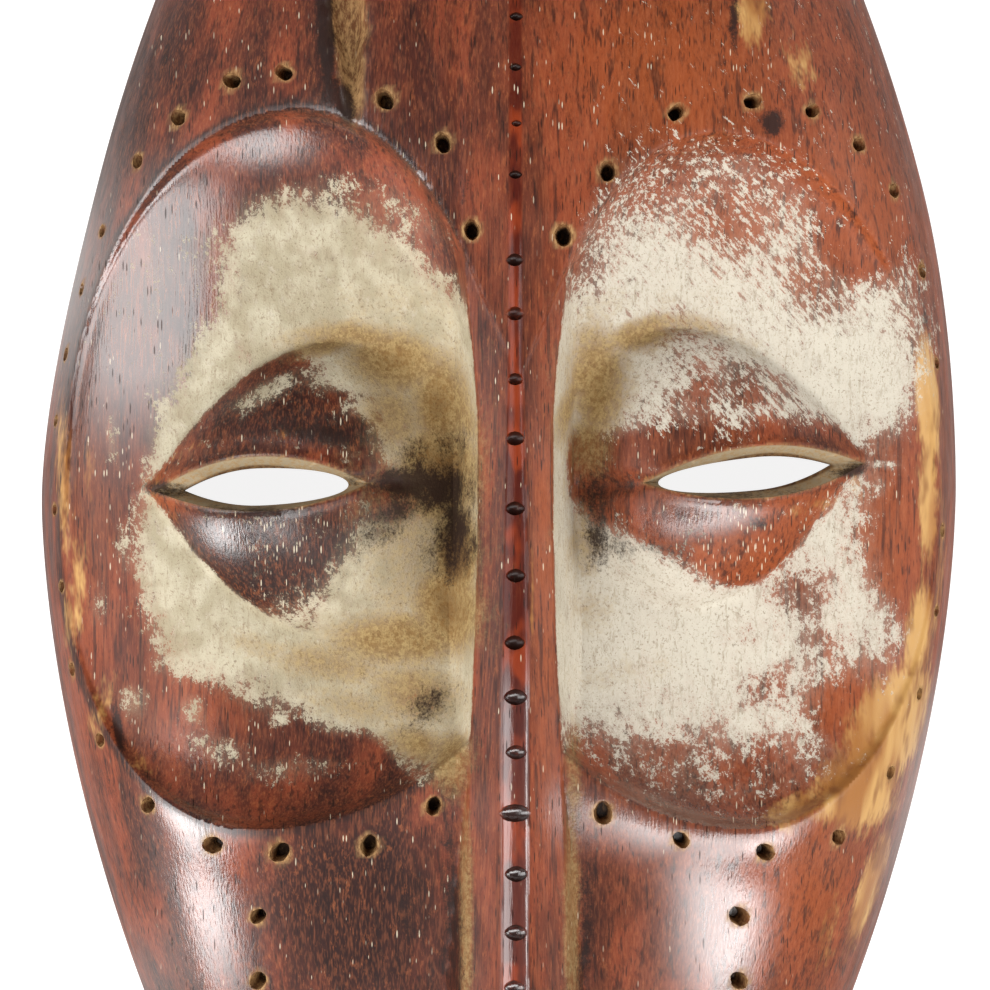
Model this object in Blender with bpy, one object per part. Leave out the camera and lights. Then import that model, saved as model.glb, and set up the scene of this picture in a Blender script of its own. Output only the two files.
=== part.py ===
"""A Lega mask, carved from one block of hardwood and hollowed from behind.

The mask lies on its back. Its rim is in the plane z = 0, the face looks up along +Z,
the forehead is towards +Y and +X is to the right of the face as it is looked at.
Everything is in metres.
"""
import math

import bmesh
import bpy
from mathutils import Matrix, Vector

MM = 0.001

# The block: an upright oval, domed in front
LENGTH = 250 * MM
WIDTH = 131.4 * MM
CROWN = 50 * MM
SIDE_REACH = 139.7 * MM     # where the long side curves would meet, were the ends not rounded
SIDE_POWER = 1.7
SIDE_ROOT = 1.5
END_START = 70.7 * MM       # from here on each end is a part of an ellipse
END_REACH = 140 * MM
LEAN = 1.6 * MM             # the forehead leans a little to the right of the chin
DOME_POWER = 3.3            # 2 would be an ellipse; more gives a flatter face and rounder shoulders
PROFILE_POWER = 2.6
PROFILE_ROOT = 1.9

# The hollow behind the face
SIDE_RIM = 7.5 * MM
END_RIM = 11 * MM
HOLLOW_HEIGHT = 30 * MM

# The nose, a raised strip that runs up into the forehead
NOSE_X = 2.4 * MM
NOSE_TOP_Y = 108 * MM
NOSE_TIP_Y = -87 * MM
NOSE_TIP_Z = 56 * MM
NOSE_WAIST_Y = 2 * MM
NOSE_WAIST = 10.4 * MM
NOSE_FOOT_WIDTH = 14.6 * MM
NOSE_FLARE = 15 * MM
CREST = 1.8 * MM            # half the flat crest
FLANK_DROP = 3.4 * MM
NOSE_FOOT = 2.2 * MM        # how far the steep side walls run out
WALL_SLOPE = 3.2
TIP_ROUNDING = 7 * MM
TIP_DROP = 5 * MM
NOTCH_HALF = (1.7 * MM, 1.1 * MM, 0.9 * MM)
NOTCHES = (
    84.5, 76, 67.9, 60.7, 52.7, 45.4, 33.3, 25.7, 16.4, 8.0, -1.9,
    -11.4, -20.9, -28.6, -36.4, -53.6, -61.9, -69.7, -77.5,
)
BIG_NOTCH_Y = -45 * MM
BIG_NOTCH_HALF = (3.0 * MM, 1.4 * MM, 1.3 * MM)

# The hollowed eye sockets
EDGE_STEP = 1.4 * MM
SOCKET_DEPTH = 17 * MM
DISH_DEPTH = 7 * MM         # what a socket gains within a short distance of its edge
DISH_REACH = 9 * MM
CUTTER_TOP = 75 * MM

# The old loss in the forehead, a gouge along the grain
GOUGE_CENTRE = (-22.0 * MM, 76 * MM)
GOUGE_HALF = (2.6 * MM, 25 * MM, 2.6 * MM)
GOUGE_TILT = math.radians(4)

# The blind holes, drilled by eye in rows that follow the sockets and the cheeks
HOLE_RADIUS = 1.35 * MM
HOLE_DEPTH = 4.2 * MM
HOLE_LIP = 1.5 * MM
LEFT_HOLES = (
    (-49.9, -44.1), (-56.8, -34.9), (-60.9, -24.9), (-62.4, -13.1), (-63.4, -2.1),
    (-63.3, 10.6), (-61.9, 20.1), (-59.6, 29.4), (-56.6, 37.7), (-51.5, 47.6),
    (-45.6, 53.7), (-37.9, 58.9), (-30.5, 60.0), (-16.1, 56.1), (-7.9, 50.0),
    (-3.8, 37.6), (-9.2, -44.1), (-18.4, -49.7), (-31.1, -50.7), (-40.6, -49.7),
)
RIGHT_HOLES = (
    (9.2, 36.8), (15.5, 45.9), (25.2, 54.3), (36.1, 55.9), (44.6, 54.6),
    (51.3, 49.9), (56.4, 43.4), (60.5, 32.0), (62.6, 18.8), (63.4, -5.1),
    (62.6, -16.6), (60.1, -28.4), (55.9, -39.6), (48.4, -48.7), (37.9, -50.7),
    (25.9, -48.9), (14.8, -45.1),
)
CHEEK_ROW_X = 34.2 * MM
CHEEK_ROW_TOP = -59.8 * MM
CHEEK_BEND_Y = -69 * MM     # below this the row turns in round the mouth
CHEEK_BEND_DROP = 50 * MM
CHEEK_BEND_HOLES = 7

HOLLOW_FLOOR = -5 * MM      # the slits are cut on past the rim, into the open hollow
SMALL = 1e-6


class Socket:
    """One hollowed eye socket: an upright egg, whose inner side runs under the nose."""

    def __init__(self, side, x, y, outer, inner_top, inner_low, top, low, shear):
        self.side = side
        self.x = x * MM
        self.y = y * MM
        self.outer = outer * MM
        self.inner_top = inner_top * MM
        self.inner_low = inner_low * MM
        self.top = top * MM
        self.low = low * MM
        self.shear = shear

    def inner(self, along):
        blend = smoothstep(31 * MM, -33 * MM, along)
        return self.inner_top + (self.inner_low - self.inner_top) * blend

    def place(self, gauge, angle):
        """The point at an angle round the socket; gauge is 0 at its middle and 1 at its edge."""
        rise = math.sin(angle)
        out = math.cos(angle)
        along = gauge * rise * (self.top if rise > 0 else self.low)
        reach = self.outer if out > 0 else self.inner(along)
        x = self.x + self.side * (gauge * out * reach + self.shear * max(-along, 0))
        return x, self.y + along


class Lens:
    """An almond: pointed at its outer end and round at its inner end."""

    def __init__(self, side, x, y, outer, inner, up, down, tilt):
        self.side = side
        self.x = x * MM
        self.y = y * MM
        self.outer = outer * MM
        self.inner = inner * MM
        self.up = up * MM
        self.down = down * MM
        self.tilt = math.radians(tilt)

    def gauge(self, out, rise):
        """0 at the middle and 1 on the almond's edge."""
        tall = self.up if rise > 0 else self.down
        if out > 0:
            run = 2 * tall * out / self.outer
            return (abs(rise) + math.hypot(rise, run)) / (2 * tall)
        return math.hypot(out / self.inner, rise / tall)

    def place(self, gauge, angle):
        out = math.cos(angle) * (self.outer if math.cos(angle) > 0 else self.inner)
        rise = math.sin(angle) * (self.up if math.sin(angle) > 0 else self.down)
        reach = gauge / self.gauge(out, rise)
        out *= reach
        rise *= reach
        turned_out = out * math.cos(self.tilt) - rise * math.sin(self.tilt)
        turned_rise = out * math.sin(self.tilt) + rise * math.cos(self.tilt)
        return self.x + self.side * turned_out, self.y + turned_rise


LEFT_SOCKET = Socket(-1, -28.4, 3.7, 33.4, 29.4, 44.3, 51.0, 51.0, 0.12)
RIGHT_SOCKET = Socket(1, 31.2, 1.6, 31.3, 27.4, 40.0, 49.8, 48.8, 0.08)
LEFT_EYE = Lens(-1, -23.1, 1.0, 27.1, 19.3, 20.7, 21.0, 0)
RIGHT_EYE = Lens(1, 25.4, 3.9, 27.1, 16.1, 19.7, 20.0, 3)
LEFT_LIDS = Lens(-1, -34.0, 1.1, 15.0, 15.6, 5.0, 3.4, -2)
RIGHT_LIDS = Lens(1, 37.5, 3.2, 14.6, 17.0, 4.2, 3.7, 5)
LEFT_SLIT = Lens(-1, -34.2, 1.0, 10.6, 12.9, 2.8, 2.5, -2)
RIGHT_SLIT = Lens(1, 36.8, 3.2, 10.6, 14.2, 2.2, 2.5, 6)
MOUTH = Lens(1, 0.6, -104, 19, 19, 9, 9, 0)
MOUTH_LIPS = Lens(1, 0.6, -104, 12, 12, 3, 3, 0)
MOUTH_SLIT = Lens(1, 0.6, -104, 10, 10, 1.9, 1.9, 0)
EYE_HEIGHT = 8.5 * MM
MOUTH_HEIGHT = 4 * MM
LID_RISE = 7.2 * MM         # how far the edge of the lids, or of the lips, is above the ground round them
FUNNEL_DEPTH = 4 * MM
SWELLING_ROOT = 3 * MM      # how deep a swelling's sides go into the wood below it


def smoothstep(start, end, value):
    part = min(max((value - start) / (end - start), 0), 1)
    return part * part * (3 - 2 * part)


def midline(y):
    return LEAN * smoothstep(-5 * MM, 45 * MM, y)


def half_width(y):
    """Half the outline's width: long side curves, then a rounded end."""
    along = abs(y)
    side = (1 - (min(along, END_START) / SIDE_REACH) ** SIDE_POWER) ** (1 / SIDE_ROOT)
    if along > END_START:
        shift = END_REACH - LENGTH / 2
        part = min((along + shift) / END_REACH, 1)
        start = (END_START + shift) / END_REACH
        side *= math.sqrt((1 - part * part) / (1 - start * start))
    return 0.5 * WIDTH * side


def profile(y):
    """The dome's height along its middle, as a share of its highest."""
    along = min(abs(2 * y / LENGTH), 1)
    return (1 - along ** PROFILE_POWER) ** (1 / PROFILE_ROOT)


def arch(across):
    """The cross-section, a squarish ellipse: 1 in the middle and 0 at the edge."""
    return (1 - min(across, 1) ** DOME_POWER) ** (1 / DOME_POWER)


def dome(x, y):
    """The height of the plain dome before the face is cut into it."""
    return CROWN * profile(y) * arch(abs(x - midline(y)) / max(half_width(y), SMALL))


def socket_floor(socket, gauge, x, y):
    """A dish that is deepest beside the nose."""
    towards_nose = smoothstep(socket.side * 62 * MM, NOSE_X, x)
    bowl = max(1 - gauge * gauge, 0) ** 0.6
    beside_nose = smoothstep(17 * MM, 0, abs(x - NOSE_X)) * smoothstep(46 * MM, 12 * MM, abs(y))
    share = towards_nose * (0.78 * bowl + 0.22 * beside_nose)
    inside = max(1 - gauge, 0) * 0.5 * (socket.outer + socket.top)
    dish = DISH_DEPTH * (1 - math.exp(-inside / DISH_REACH))
    return dome(x, y) - EDGE_STEP - dish - (SOCKET_DEPTH - EDGE_STEP - DISH_DEPTH) * share


def floor_under(x, y):
    """The height of the carved ground at a point, sockets included."""
    height = dome(x, y)
    for socket in (LEFT_SOCKET, RIGHT_SOCKET):
        along = y - socket.y
        out = socket.side * (x - socket.x) - socket.shear * max(-along, 0)
        reach = socket.outer if out > 0 else socket.inner(along)
        tall = socket.top if along > 0 else socket.low
        gauge = math.hypot(out / reach, along / tall)
        if gauge < 1:
            height = min(height, socket_floor(socket, gauge, x, y))
    return height


def surface_normal(x, y):
    step = 0.4 * MM
    slope_x = (dome(x + step, y) - dome(x - step, y)) / (2 * step)
    slope_y = (dome(x, y + step) - dome(x, y - step)) / (2 * step)
    return Vector((-slope_x, -slope_y, 1)).normalized()


def nose_half_width(y):
    low = smoothstep(NOSE_WAIST_Y, NOSE_TIP_Y + 16 * MM, y)
    high = smoothstep(NOSE_WAIST_Y + 6 * MM, 40 * MM, y)
    return 0.5 * (NOSE_WAIST + (NOSE_FOOT_WIDTH - NOSE_WAIST) * low
                  + (NOSE_FLARE - NOSE_WAIST) * high)


def nose_crest(y):
    """The crest leaves the forehead's dome and runs straight down to the tip."""
    forehead = CROWN * profile(y) + 0.7 * MM
    if y > 30 * MM:
        return forehead - 1.4 * MM * smoothstep(NOSE_TOP_Y - 12 * MM, NOSE_TOP_Y, y)
    start = CROWN * profile(30 * MM) + 0.7 * MM
    down = (30 * MM - y) / (30 * MM - NOSE_TIP_Y)
    return start + (NOSE_TIP_Z - start) * down


def flank_drop(y):
    """The flanks slope away from the crest below the eyes, and are almost level on the forehead."""
    return FLANK_DROP * (0.3 + 0.7 * smoothstep(42 * MM, 4 * MM, y))


def make_object(name, bm):
    bmesh.ops.recalc_face_normals(bm, faces=bm.faces)
    mesh = bpy.data.meshes.new(name)
    bm.to_mesh(mesh)
    bm.free()
    made = bpy.data.objects.new(name, mesh)
    bpy.context.scene.collection.objects.link(made)
    return made


def open_edges(bm):
    return [edge for edge in bm.edges if edge.is_boundary]


def close_to_level(bm, level):
    """Carry a sheet's open edge straight to a level and close it there."""
    sides = bmesh.ops.extrude_edge_only(bm, edges=open_edges(bm))
    for item in sides["geom"]:
        if isinstance(item, bmesh.types.BMVert):
            item.co.z = level(item.co.x, item.co.y) if callable(level) else level
    bmesh.ops.contextual_create(bm, geom=open_edges(bm))
    bmesh.ops.triangulate(bm, faces=[face for face in bm.faces if len(face.verts) > 4])


def dome_sheet(columns, rows, width_share, length_share, crown):
    """A grid bent over the oval, its outer edge lying at z = 0."""
    bm = bmesh.new()
    bmesh.ops.create_grid(bm, x_segments=columns, y_segments=rows, size=1)
    for vert in bm.verts:
        y = 0.5 * LENGTH * math.sin(vert.co.y * math.pi / 2)
        turn = vert.co.x * math.pi / 2
        across = math.copysign(abs(math.sin(turn)) ** (2 / DOME_POWER), turn)
        x = midline(y) + half_width(y) * across * width_share
        vert.co = (x, y * length_share, crown * profile(y) * arch(abs(across)))
    bmesh.ops.remove_doubles(bm, verts=bm.verts, dist=0.01 * MM)
    return bm


def make_block():
    bm = dome_sheet(32, 38, 1, 1, CROWN)
    bmesh.ops.contextual_create(bm, geom=open_edges(bm))
    bmesh.ops.triangulate(bm, faces=[face for face in bm.faces if len(face.verts) > 4])
    return make_object("mask", bm)


def make_hollow():
    bm = dome_sheet(16, 20, 1 - 2 * SIDE_RIM / WIDTH, 1 - 2 * END_RIM / LENGTH, HOLLOW_HEIGHT)
    close_to_level(bm, -SIDE_RIM)
    return make_object("hollow", bm)


def polar_sheet(around, rings):
    """A disc of radius 1 in rings, ready to be bent into a socket or a swelling."""
    bm = bmesh.new()
    bmesh.ops.create_circle(bm, cap_ends=True, cap_tris=True, segments=around, radius=1)
    spokes = [edge for edge in bm.edges if not edge.is_boundary]
    bmesh.ops.subdivide_edges(bm, edges=spokes, cuts=rings - 1, use_grid_fill=True)
    return bm


def make_socket(name, socket):
    """What the adze took out: its underside is the socket's floor."""
    bm = polar_sheet(48, 8)
    for vert in bm.verts:
        gauge = min(vert.co.xy.length, 1)
        angle = math.atan2(vert.co.y, vert.co.x)
        x, y = socket.place(gauge, angle)
        vert.co = (x, y, socket_floor(socket, gauge, x, y))
    close_to_level(bm, CUTTER_TOP)
    return make_object(name, bm)


def make_swelling(name, lens, height, around, rings):
    """A steep-edged almond that stands up from the carved ground."""
    bm = polar_sheet(around, rings)
    for vert in bm.verts:
        gauge = min(vert.co.xy.length, 1) ** 0.8
        angle = math.atan2(vert.co.y, vert.co.x)
        x, y = lens.place(gauge, angle)
        rise = height * max(1 - gauge ** 2.4, 0) ** 0.62
        vert.co = (x, y, floor_under(x, y) + rise)
    close_to_level(bm, lambda x, y: floor_under(x, y) - SWELLING_ROOT)
    return make_object(name, bm)


def make_slit(name, lids, slit):
    """A funnel: wide between the lids, narrow where it goes through the wall."""
    lip_z = floor_under(slit.x, slit.y) + LID_RISE
    throat_z = lip_z - FUNNEL_DEPTH
    levels = ((slit, HOLLOW_FLOOR, 1), (slit, throat_z, 1), (lids, lip_z, 1), (lids, CUTTER_TOP, 1.6))
    bm = bmesh.new()
    bmesh.ops.create_cone(bm, cap_ends=True, segments=20, radius1=1, radius2=1, depth=3)
    sides = [edge for edge in bm.edges if abs(edge.verts[0].co.z - edge.verts[1].co.z) > 1]
    bmesh.ops.subdivide_edges(bm, edges=sides, cuts=2)
    for vert in bm.verts:
        lens, z, spread = levels[round(vert.co.z + 1.5)]
        x, y = lens.place(spread, math.atan2(vert.co.y, vert.co.x))
        vert.co = (x, y, z)
    bmesh.ops.triangulate(bm, faces=[face for face in bm.faces if len(face.verts) > 4])
    return make_object(name, bm)


def make_nose():
    """The raised strip: a flat crest, rounded shoulders and steep side walls."""
    bm = bmesh.new()
    bmesh.ops.create_grid(bm, x_segments=12, y_segments=30, size=1)
    shoulder = 0.65
    for vert in bm.verts:
        y = NOSE_TIP_Y + (NOSE_TOP_Y - NOSE_TIP_Y) * (vert.co.y + 1) / 2
        half = nose_half_width(y)
        part = abs(vert.co.x)
        if part <= shoulder:
            off = half * part / shoulder
        else:
            off = half + NOSE_FOOT * (part - shoulder) / (1 - shoulder)
        flank = max(min((off - CREST) / (half - CREST), 1), 0)
        z = nose_crest(y) - flank_drop(y) * flank ** 1.3 - WALL_SLOPE * max(off - half, 0)
        into_tip = max(1 - (y - NOSE_TIP_Y) / TIP_ROUNDING, 0)
        z -= TIP_DROP * (1 - math.sqrt(1 - into_tip * into_tip))
        vert.co = (NOSE_X + math.copysign(off, vert.co.x), y, z)
    close_to_level(bm, lambda x, y: (HOLLOW_HEIGHT + SWELLING_ROOT) * profile(y))
    return make_object("nose_strip", bm)


def add_lens_cut(bm, centre, half, turn=0.0):
    """A small almond-shaped cut, across the crest or along the grain."""
    made = bmesh.ops.create_uvsphere(bm, u_segments=8, v_segments=4, radius=1)
    shape = Matrix.Translation(centre) @ Matrix.Rotation(turn, 4, "Z") @ Matrix.Diagonal((*half, 1))
    bmesh.ops.transform(bm, matrix=shape, verts=made["verts"])


def make_notches():
    bm = bmesh.new()
    for y in NOTCHES:
        add_lens_cut(bm, (NOSE_X, y * MM, nose_crest(y * MM)), NOTCH_HALF)
    add_lens_cut(bm, (NOSE_X, BIG_NOTCH_Y, nose_crest(BIG_NOTCH_Y)), BIG_NOTCH_HALF)
    return make_object("crest_notches", bm)


def make_gouge():
    bm = bmesh.new()
    x, y = GOUGE_CENTRE
    add_lens_cut(bm, (0, 0, 0), GOUGE_HALF, GOUGE_TILT)
    for vert in bm.verts:
        vert.co += Vector((x, y, 0))
        vert.co.z += dome(x, vert.co.y)
    return make_object("forehead_gouge", bm)


def hole_places():
    for x, y in LEFT_HOLES + RIGHT_HOLES:
        yield x * MM, y * MM
    for side in (-1, 1):
        yield side * CHEEK_ROW_X, CHEEK_ROW_TOP
        for number in range(CHEEK_BEND_HOLES):
            turn = math.radians(80) * number / (CHEEK_BEND_HOLES - 1)
            yield side * CHEEK_ROW_X * math.cos(turn), CHEEK_BEND_Y - CHEEK_BEND_DROP * math.sin(turn)


def make_holes():
    """Every blind hole is drilled square to the surface, and narrows inwards."""
    bm = bmesh.new()
    for x, y in hole_places():
        normal = surface_normal(x, y)
        middle = Vector((x, y, dome(x, y))) + normal * (HOLE_LIP - HOLE_DEPTH) / 2
        turn = normal.to_track_quat("Z", "Y").to_matrix().to_4x4()
        bmesh.ops.create_cone(
            bm, cap_ends=True, segments=6, radius1=0.5 * HOLE_RADIUS, radius2=1.2 * HOLE_RADIUS,
            depth=HOLE_DEPTH + HOLE_LIP, matrix=Matrix.Translation(middle) @ turn)
    return make_object("drilled_holes", bm)


def work(block, tool, operation):
    """Cut a tool's shape out of the block, or fuse a raised form to it."""
    step = block.modifiers.new(tool.name, "BOOLEAN")
    step.operation = operation
    step.object = tool
    tool.hide_render = True
    tool.display_type = "WIRE"


def patinated_wood():
    material = bpy.data.materials.new("patinated_hardwood")
    material.use_nodes = True
    shader = material.node_tree.nodes["Principled BSDF"]
    shader.inputs["Base Color"].default_value = (0.17, 0.055, 0.03, 1)
    shader.inputs["Roughness"].default_value = 0.38
    shader.inputs["Metallic"].default_value = 0
    return material


def build_mask():
    mask = make_block()
    mask.data.materials.append(patinated_wood())
    work(mask, make_socket("left_socket", LEFT_SOCKET), "DIFFERENCE")
    work(mask, make_socket("right_socket", RIGHT_SOCKET), "DIFFERENCE")
    work(mask, make_swelling("left_eye", LEFT_EYE, EYE_HEIGHT, 28, 5), "UNION")
    work(mask, make_swelling("right_eye", RIGHT_EYE, EYE_HEIGHT, 28, 5), "UNION")
    work(mask, make_swelling("mouth", MOUTH, MOUTH_HEIGHT, 20, 3), "UNION")
    work(mask, make_nose(), "UNION")
    work(mask, make_gouge(), "DIFFERENCE")
    work(mask, make_hollow(), "DIFFERENCE")
    work(mask, make_slit("left_slit", LEFT_LIDS, LEFT_SLIT), "DIFFERENCE")
    work(mask, make_slit("right_slit", RIGHT_LIDS, RIGHT_SLIT), "DIFFERENCE")
    work(mask, make_slit("mouth_slit", MOUTH_LIPS, MOUTH_SLIT), "DIFFERENCE")
    work(mask, make_notches(), "DIFFERENCE")
    work(mask, make_holes(), "DIFFERENCE")
    return mask


for old in list(bpy.data.objects):
    bpy.data.objects.remove(old, do_unlink=True)
build_mask()
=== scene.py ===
# %% [markdown]
# A carved wooden face mask, seen from straight above as it lies on its back.
#
# The real one is cut from a single block. The carver shapes a domed oval, hollows it from behind, scoops
# out two shallow eye sockets and so leaves the nose standing between them as a strip. Then come the
# almond eyes, the pierced slits, and the small drilled holes that follow the sockets and the cheeks.
# This lesson works in the same order: first the form, then the cuts, then the finish.

# %% Load the fixed frame
import math

import bmesh
import bpy
import numpy as np
from mathutils import Matrix, Vector


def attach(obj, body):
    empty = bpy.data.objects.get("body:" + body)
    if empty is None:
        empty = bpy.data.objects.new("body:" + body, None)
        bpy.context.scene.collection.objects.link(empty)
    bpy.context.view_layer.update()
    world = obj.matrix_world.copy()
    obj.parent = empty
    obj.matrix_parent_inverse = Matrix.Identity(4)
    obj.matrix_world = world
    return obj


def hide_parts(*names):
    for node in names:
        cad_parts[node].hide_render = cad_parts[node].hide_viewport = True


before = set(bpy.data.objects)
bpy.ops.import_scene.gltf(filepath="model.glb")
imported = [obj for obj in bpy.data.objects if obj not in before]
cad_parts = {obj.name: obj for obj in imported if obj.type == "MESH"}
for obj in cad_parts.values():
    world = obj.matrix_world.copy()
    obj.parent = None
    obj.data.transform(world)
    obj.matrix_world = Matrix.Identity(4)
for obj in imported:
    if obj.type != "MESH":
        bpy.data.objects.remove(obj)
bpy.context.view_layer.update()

MM = 0.001

# %% [markdown]
# The camera comes first. The photograph is a close-up with hardly any perspective, so the camera stands three
# metres off with a long lens. The frame it has to fill is 141.4 mm wide, and the lens follows from that width
# and the distance.

# %% Camera
FRAME_WIDTH = 141.4 * MM
FRAME_MIDDLE = (-0.5 * MM, 0.0)
CAMERA_HEIGHT = 3.0
FACE_LEVEL = 25 * MM        # the frame is measured at this height, about half way up the face

camera_data = bpy.data.cameras.new("camera")
camera_data.sensor_width = 36
camera_data.lens = camera_data.sensor_width * (CAMERA_HEIGHT - FACE_LEVEL) / FRAME_WIDTH
camera_data.clip_end = 20
camera = bpy.data.objects.new("camera", camera_data)
camera.location = (*FRAME_MIDDLE, CAMERA_HEIGHT)
bpy.context.scene.collection.objects.link(camera)
bpy.context.scene.camera = camera
print("lens", round(camera_data.lens), "mm")

# %% [markdown]
# The outline is an upright oval with long side curves and rounded ends. It could be drawn as a curve with
# many points, but a short formula keeps it smooth and lets every later step ask how wide the mask is at
# any height. All the functions here take whole arrays, so that the dense sheet is shaped in one go.

# %% Outline and dome
LENGTH = 250 * MM
WIDTH = 131.4 * MM
CROWN = 50 * MM
SIDE_REACH = 139.7 * MM     # where the long side curves would meet, were the ends not rounded
SIDE_POWER = 1.7
SIDE_ROOT = 1.5
END_START = 70.7 * MM       # from here on each end is a part of an ellipse
END_REACH = 140 * MM
LEAN = 1.6 * MM             # the forehead leans a little to the right of the chin
DOME_POWER = 3.3            # 2 would be an ellipse; more gives a flatter face and rounder shoulders
PROFILE_POWER = 2.6
PROFILE_ROOT = 1.9
SMALL = 1e-6


def smoothstep(start, end, value):
    part = np.clip((value - start) / (end - start), 0, 1)
    return part * part * (3 - 2 * part)


def soft_max(a, b, radius):
    """The higher of two heights, with a fillet where they cross."""
    part = np.clip(0.5 + 0.5 * (a - b) / radius, 0, 1)
    return b + (a - b) * part + radius * part * (1 - part)


def midline(y):
    return LEAN * smoothstep(-5 * MM, 45 * MM, y)


def half_width(y):
    along = np.abs(y)
    side = (1 - (np.minimum(along, END_START) / SIDE_REACH) ** SIDE_POWER) ** (1 / SIDE_ROOT)
    shift = END_REACH - LENGTH / 2
    start = (END_START + shift) / END_REACH
    part = np.clip((along + shift) / END_REACH, start, 1)
    return 0.5 * WIDTH * side * np.sqrt((1 - part * part) / (1 - start * start))


def profile(y):
    """The height along the middle, as a share of the highest."""
    along = np.clip(np.abs(2 * y / LENGTH), 0, 1)
    return (1 - along ** PROFILE_POWER) ** (1 / PROFILE_ROOT)


def arch(across):
    """The cross-section, a squarish ellipse: 1 in the middle and 0 at the edge."""
    return (1 - np.clip(across, 0, 1) ** DOME_POWER) ** (1 / DOME_POWER)


def dome(x, y):
    return CROWN * profile(y) * arch(np.abs(x - midline(y)) / np.maximum(half_width(y), SMALL))


print("half width at the eyes", round(float(half_width(0.0)) / MM, 1), "mm")

# %% [markdown]
# Each eye socket is a dish. Its edge is an upright egg, cut off on its inner side by the nose. The edge
# itself is a step of little more than a millimetre. Inside it the dish soon gains seven more, and it is
# deepest beside the nose. Along the lower edge the carver left a low rounded ridge, where the cheek begins.
# The gauge used below is 0 in the middle of the egg and 1 on its edge, whatever the direction, so that a
# step, a ridge or a finish can follow the edge all the way round.

# %% Eye sockets
EDGE_STEP = 1.4 * MM
SOCKET_DEPTH = 17 * MM
DISH_DEPTH = 7 * MM         # what the dish gains within a short distance of its edge
DISH_REACH = 9 * MM
CRISP_EDGE = 1.4 * MM
SOFT_EDGE = 3.5 * MM
ROLL_HEIGHT = 1.3 * MM      # the rounded ridge along a socket's lower edge, where the cheek begins
ROLL_WIDTH = 4.5 * MM


class Socket:
    """An egg with a middle, a reach in each direction, and a lower end that leans away from the nose."""

    def __init__(self, side, x, y, outer, inner_top, inner_low, top, low, shear):
        self.side = side
        self.x = x * MM
        self.y = y * MM
        self.outer = outer * MM
        self.inner_top = inner_top * MM
        self.inner_low = inner_low * MM
        self.top = top * MM
        self.low = low * MM
        self.shear = shear

    def polar(self, x, y):
        """Gauge and angle of each point; 0 degrees points away from the nose, 90 to the forehead."""
        along = y - self.y
        out = self.side * (x - self.x) - self.shear * np.maximum(-along, 0)
        blend = smoothstep(31 * MM, -33 * MM, along)
        inner = self.inner_top + (self.inner_low - self.inner_top) * blend
        across = out / np.where(out > 0, self.outer, inner)
        rise = along / np.where(along > 0, self.top, self.low)
        return np.hypot(across, rise), np.degrees(np.arctan2(rise, across))


LEFT_SOCKET = Socket(-1, -28.4, 3.7, 33.4, 29.4, 44.3, 51.0, 51.0, 0.12)
RIGHT_SOCKET = Socket(1, 31.2, 1.6, 31.3, 27.4, 40.0, 49.8, 48.8, 0.08)
NOSE_X = 2.4 * MM


def socket_cut(socket, x, y):
    """How much wood the socket takes away at each point."""
    gauge, angle = socket.polar(x, y)
    radius = 0.5 * (socket.outer + socket.top)
    softness = CRISP_EDGE
    if socket.side > 0:
        softness = CRISP_EDGE + (SOFT_EDGE - CRISP_EDGE) * smoothstep(60, 25, np.abs(angle - 95))
    inside = (1 - gauge) * radius
    step = EDGE_STEP * smoothstep(-0.3 * softness, softness, inside)
    towards_nose = smoothstep(socket.side * 62 * MM, NOSE_X, x)
    bowl = np.maximum(1 - gauge * gauge, 0) ** 0.6
    beside_nose = smoothstep(17 * MM, 0, np.abs(x - NOSE_X)) * smoothstep(46 * MM, 12 * MM, np.abs(y))
    share = towards_nose * (0.78 * bowl + 0.22 * beside_nose * smoothstep(0, 2 * MM, inside))
    below = smoothstep(70, 20, np.abs(angle + 88))
    roll = ROLL_HEIGHT * below * np.exp(-((inside + 1.5 * MM) / ROLL_WIDTH) ** 2)
    dish = DISH_DEPTH * (1 - np.exp(-np.maximum(inside, 0) / DISH_REACH))
    deep = step + dish + (SOCKET_DEPTH - EDGE_STEP - DISH_DEPTH) * share
    return np.where(inside > -softness, deep, 0) - roll


# %% [markdown]
# The eyes are almonds, pointed away from the nose and round towards it. They stand up from the socket with
# a steep side, like half a coffee bean. The same almond shape, smaller, gives the lids' edge and the slit
# that is cut right through, so one class serves all of them.

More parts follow.
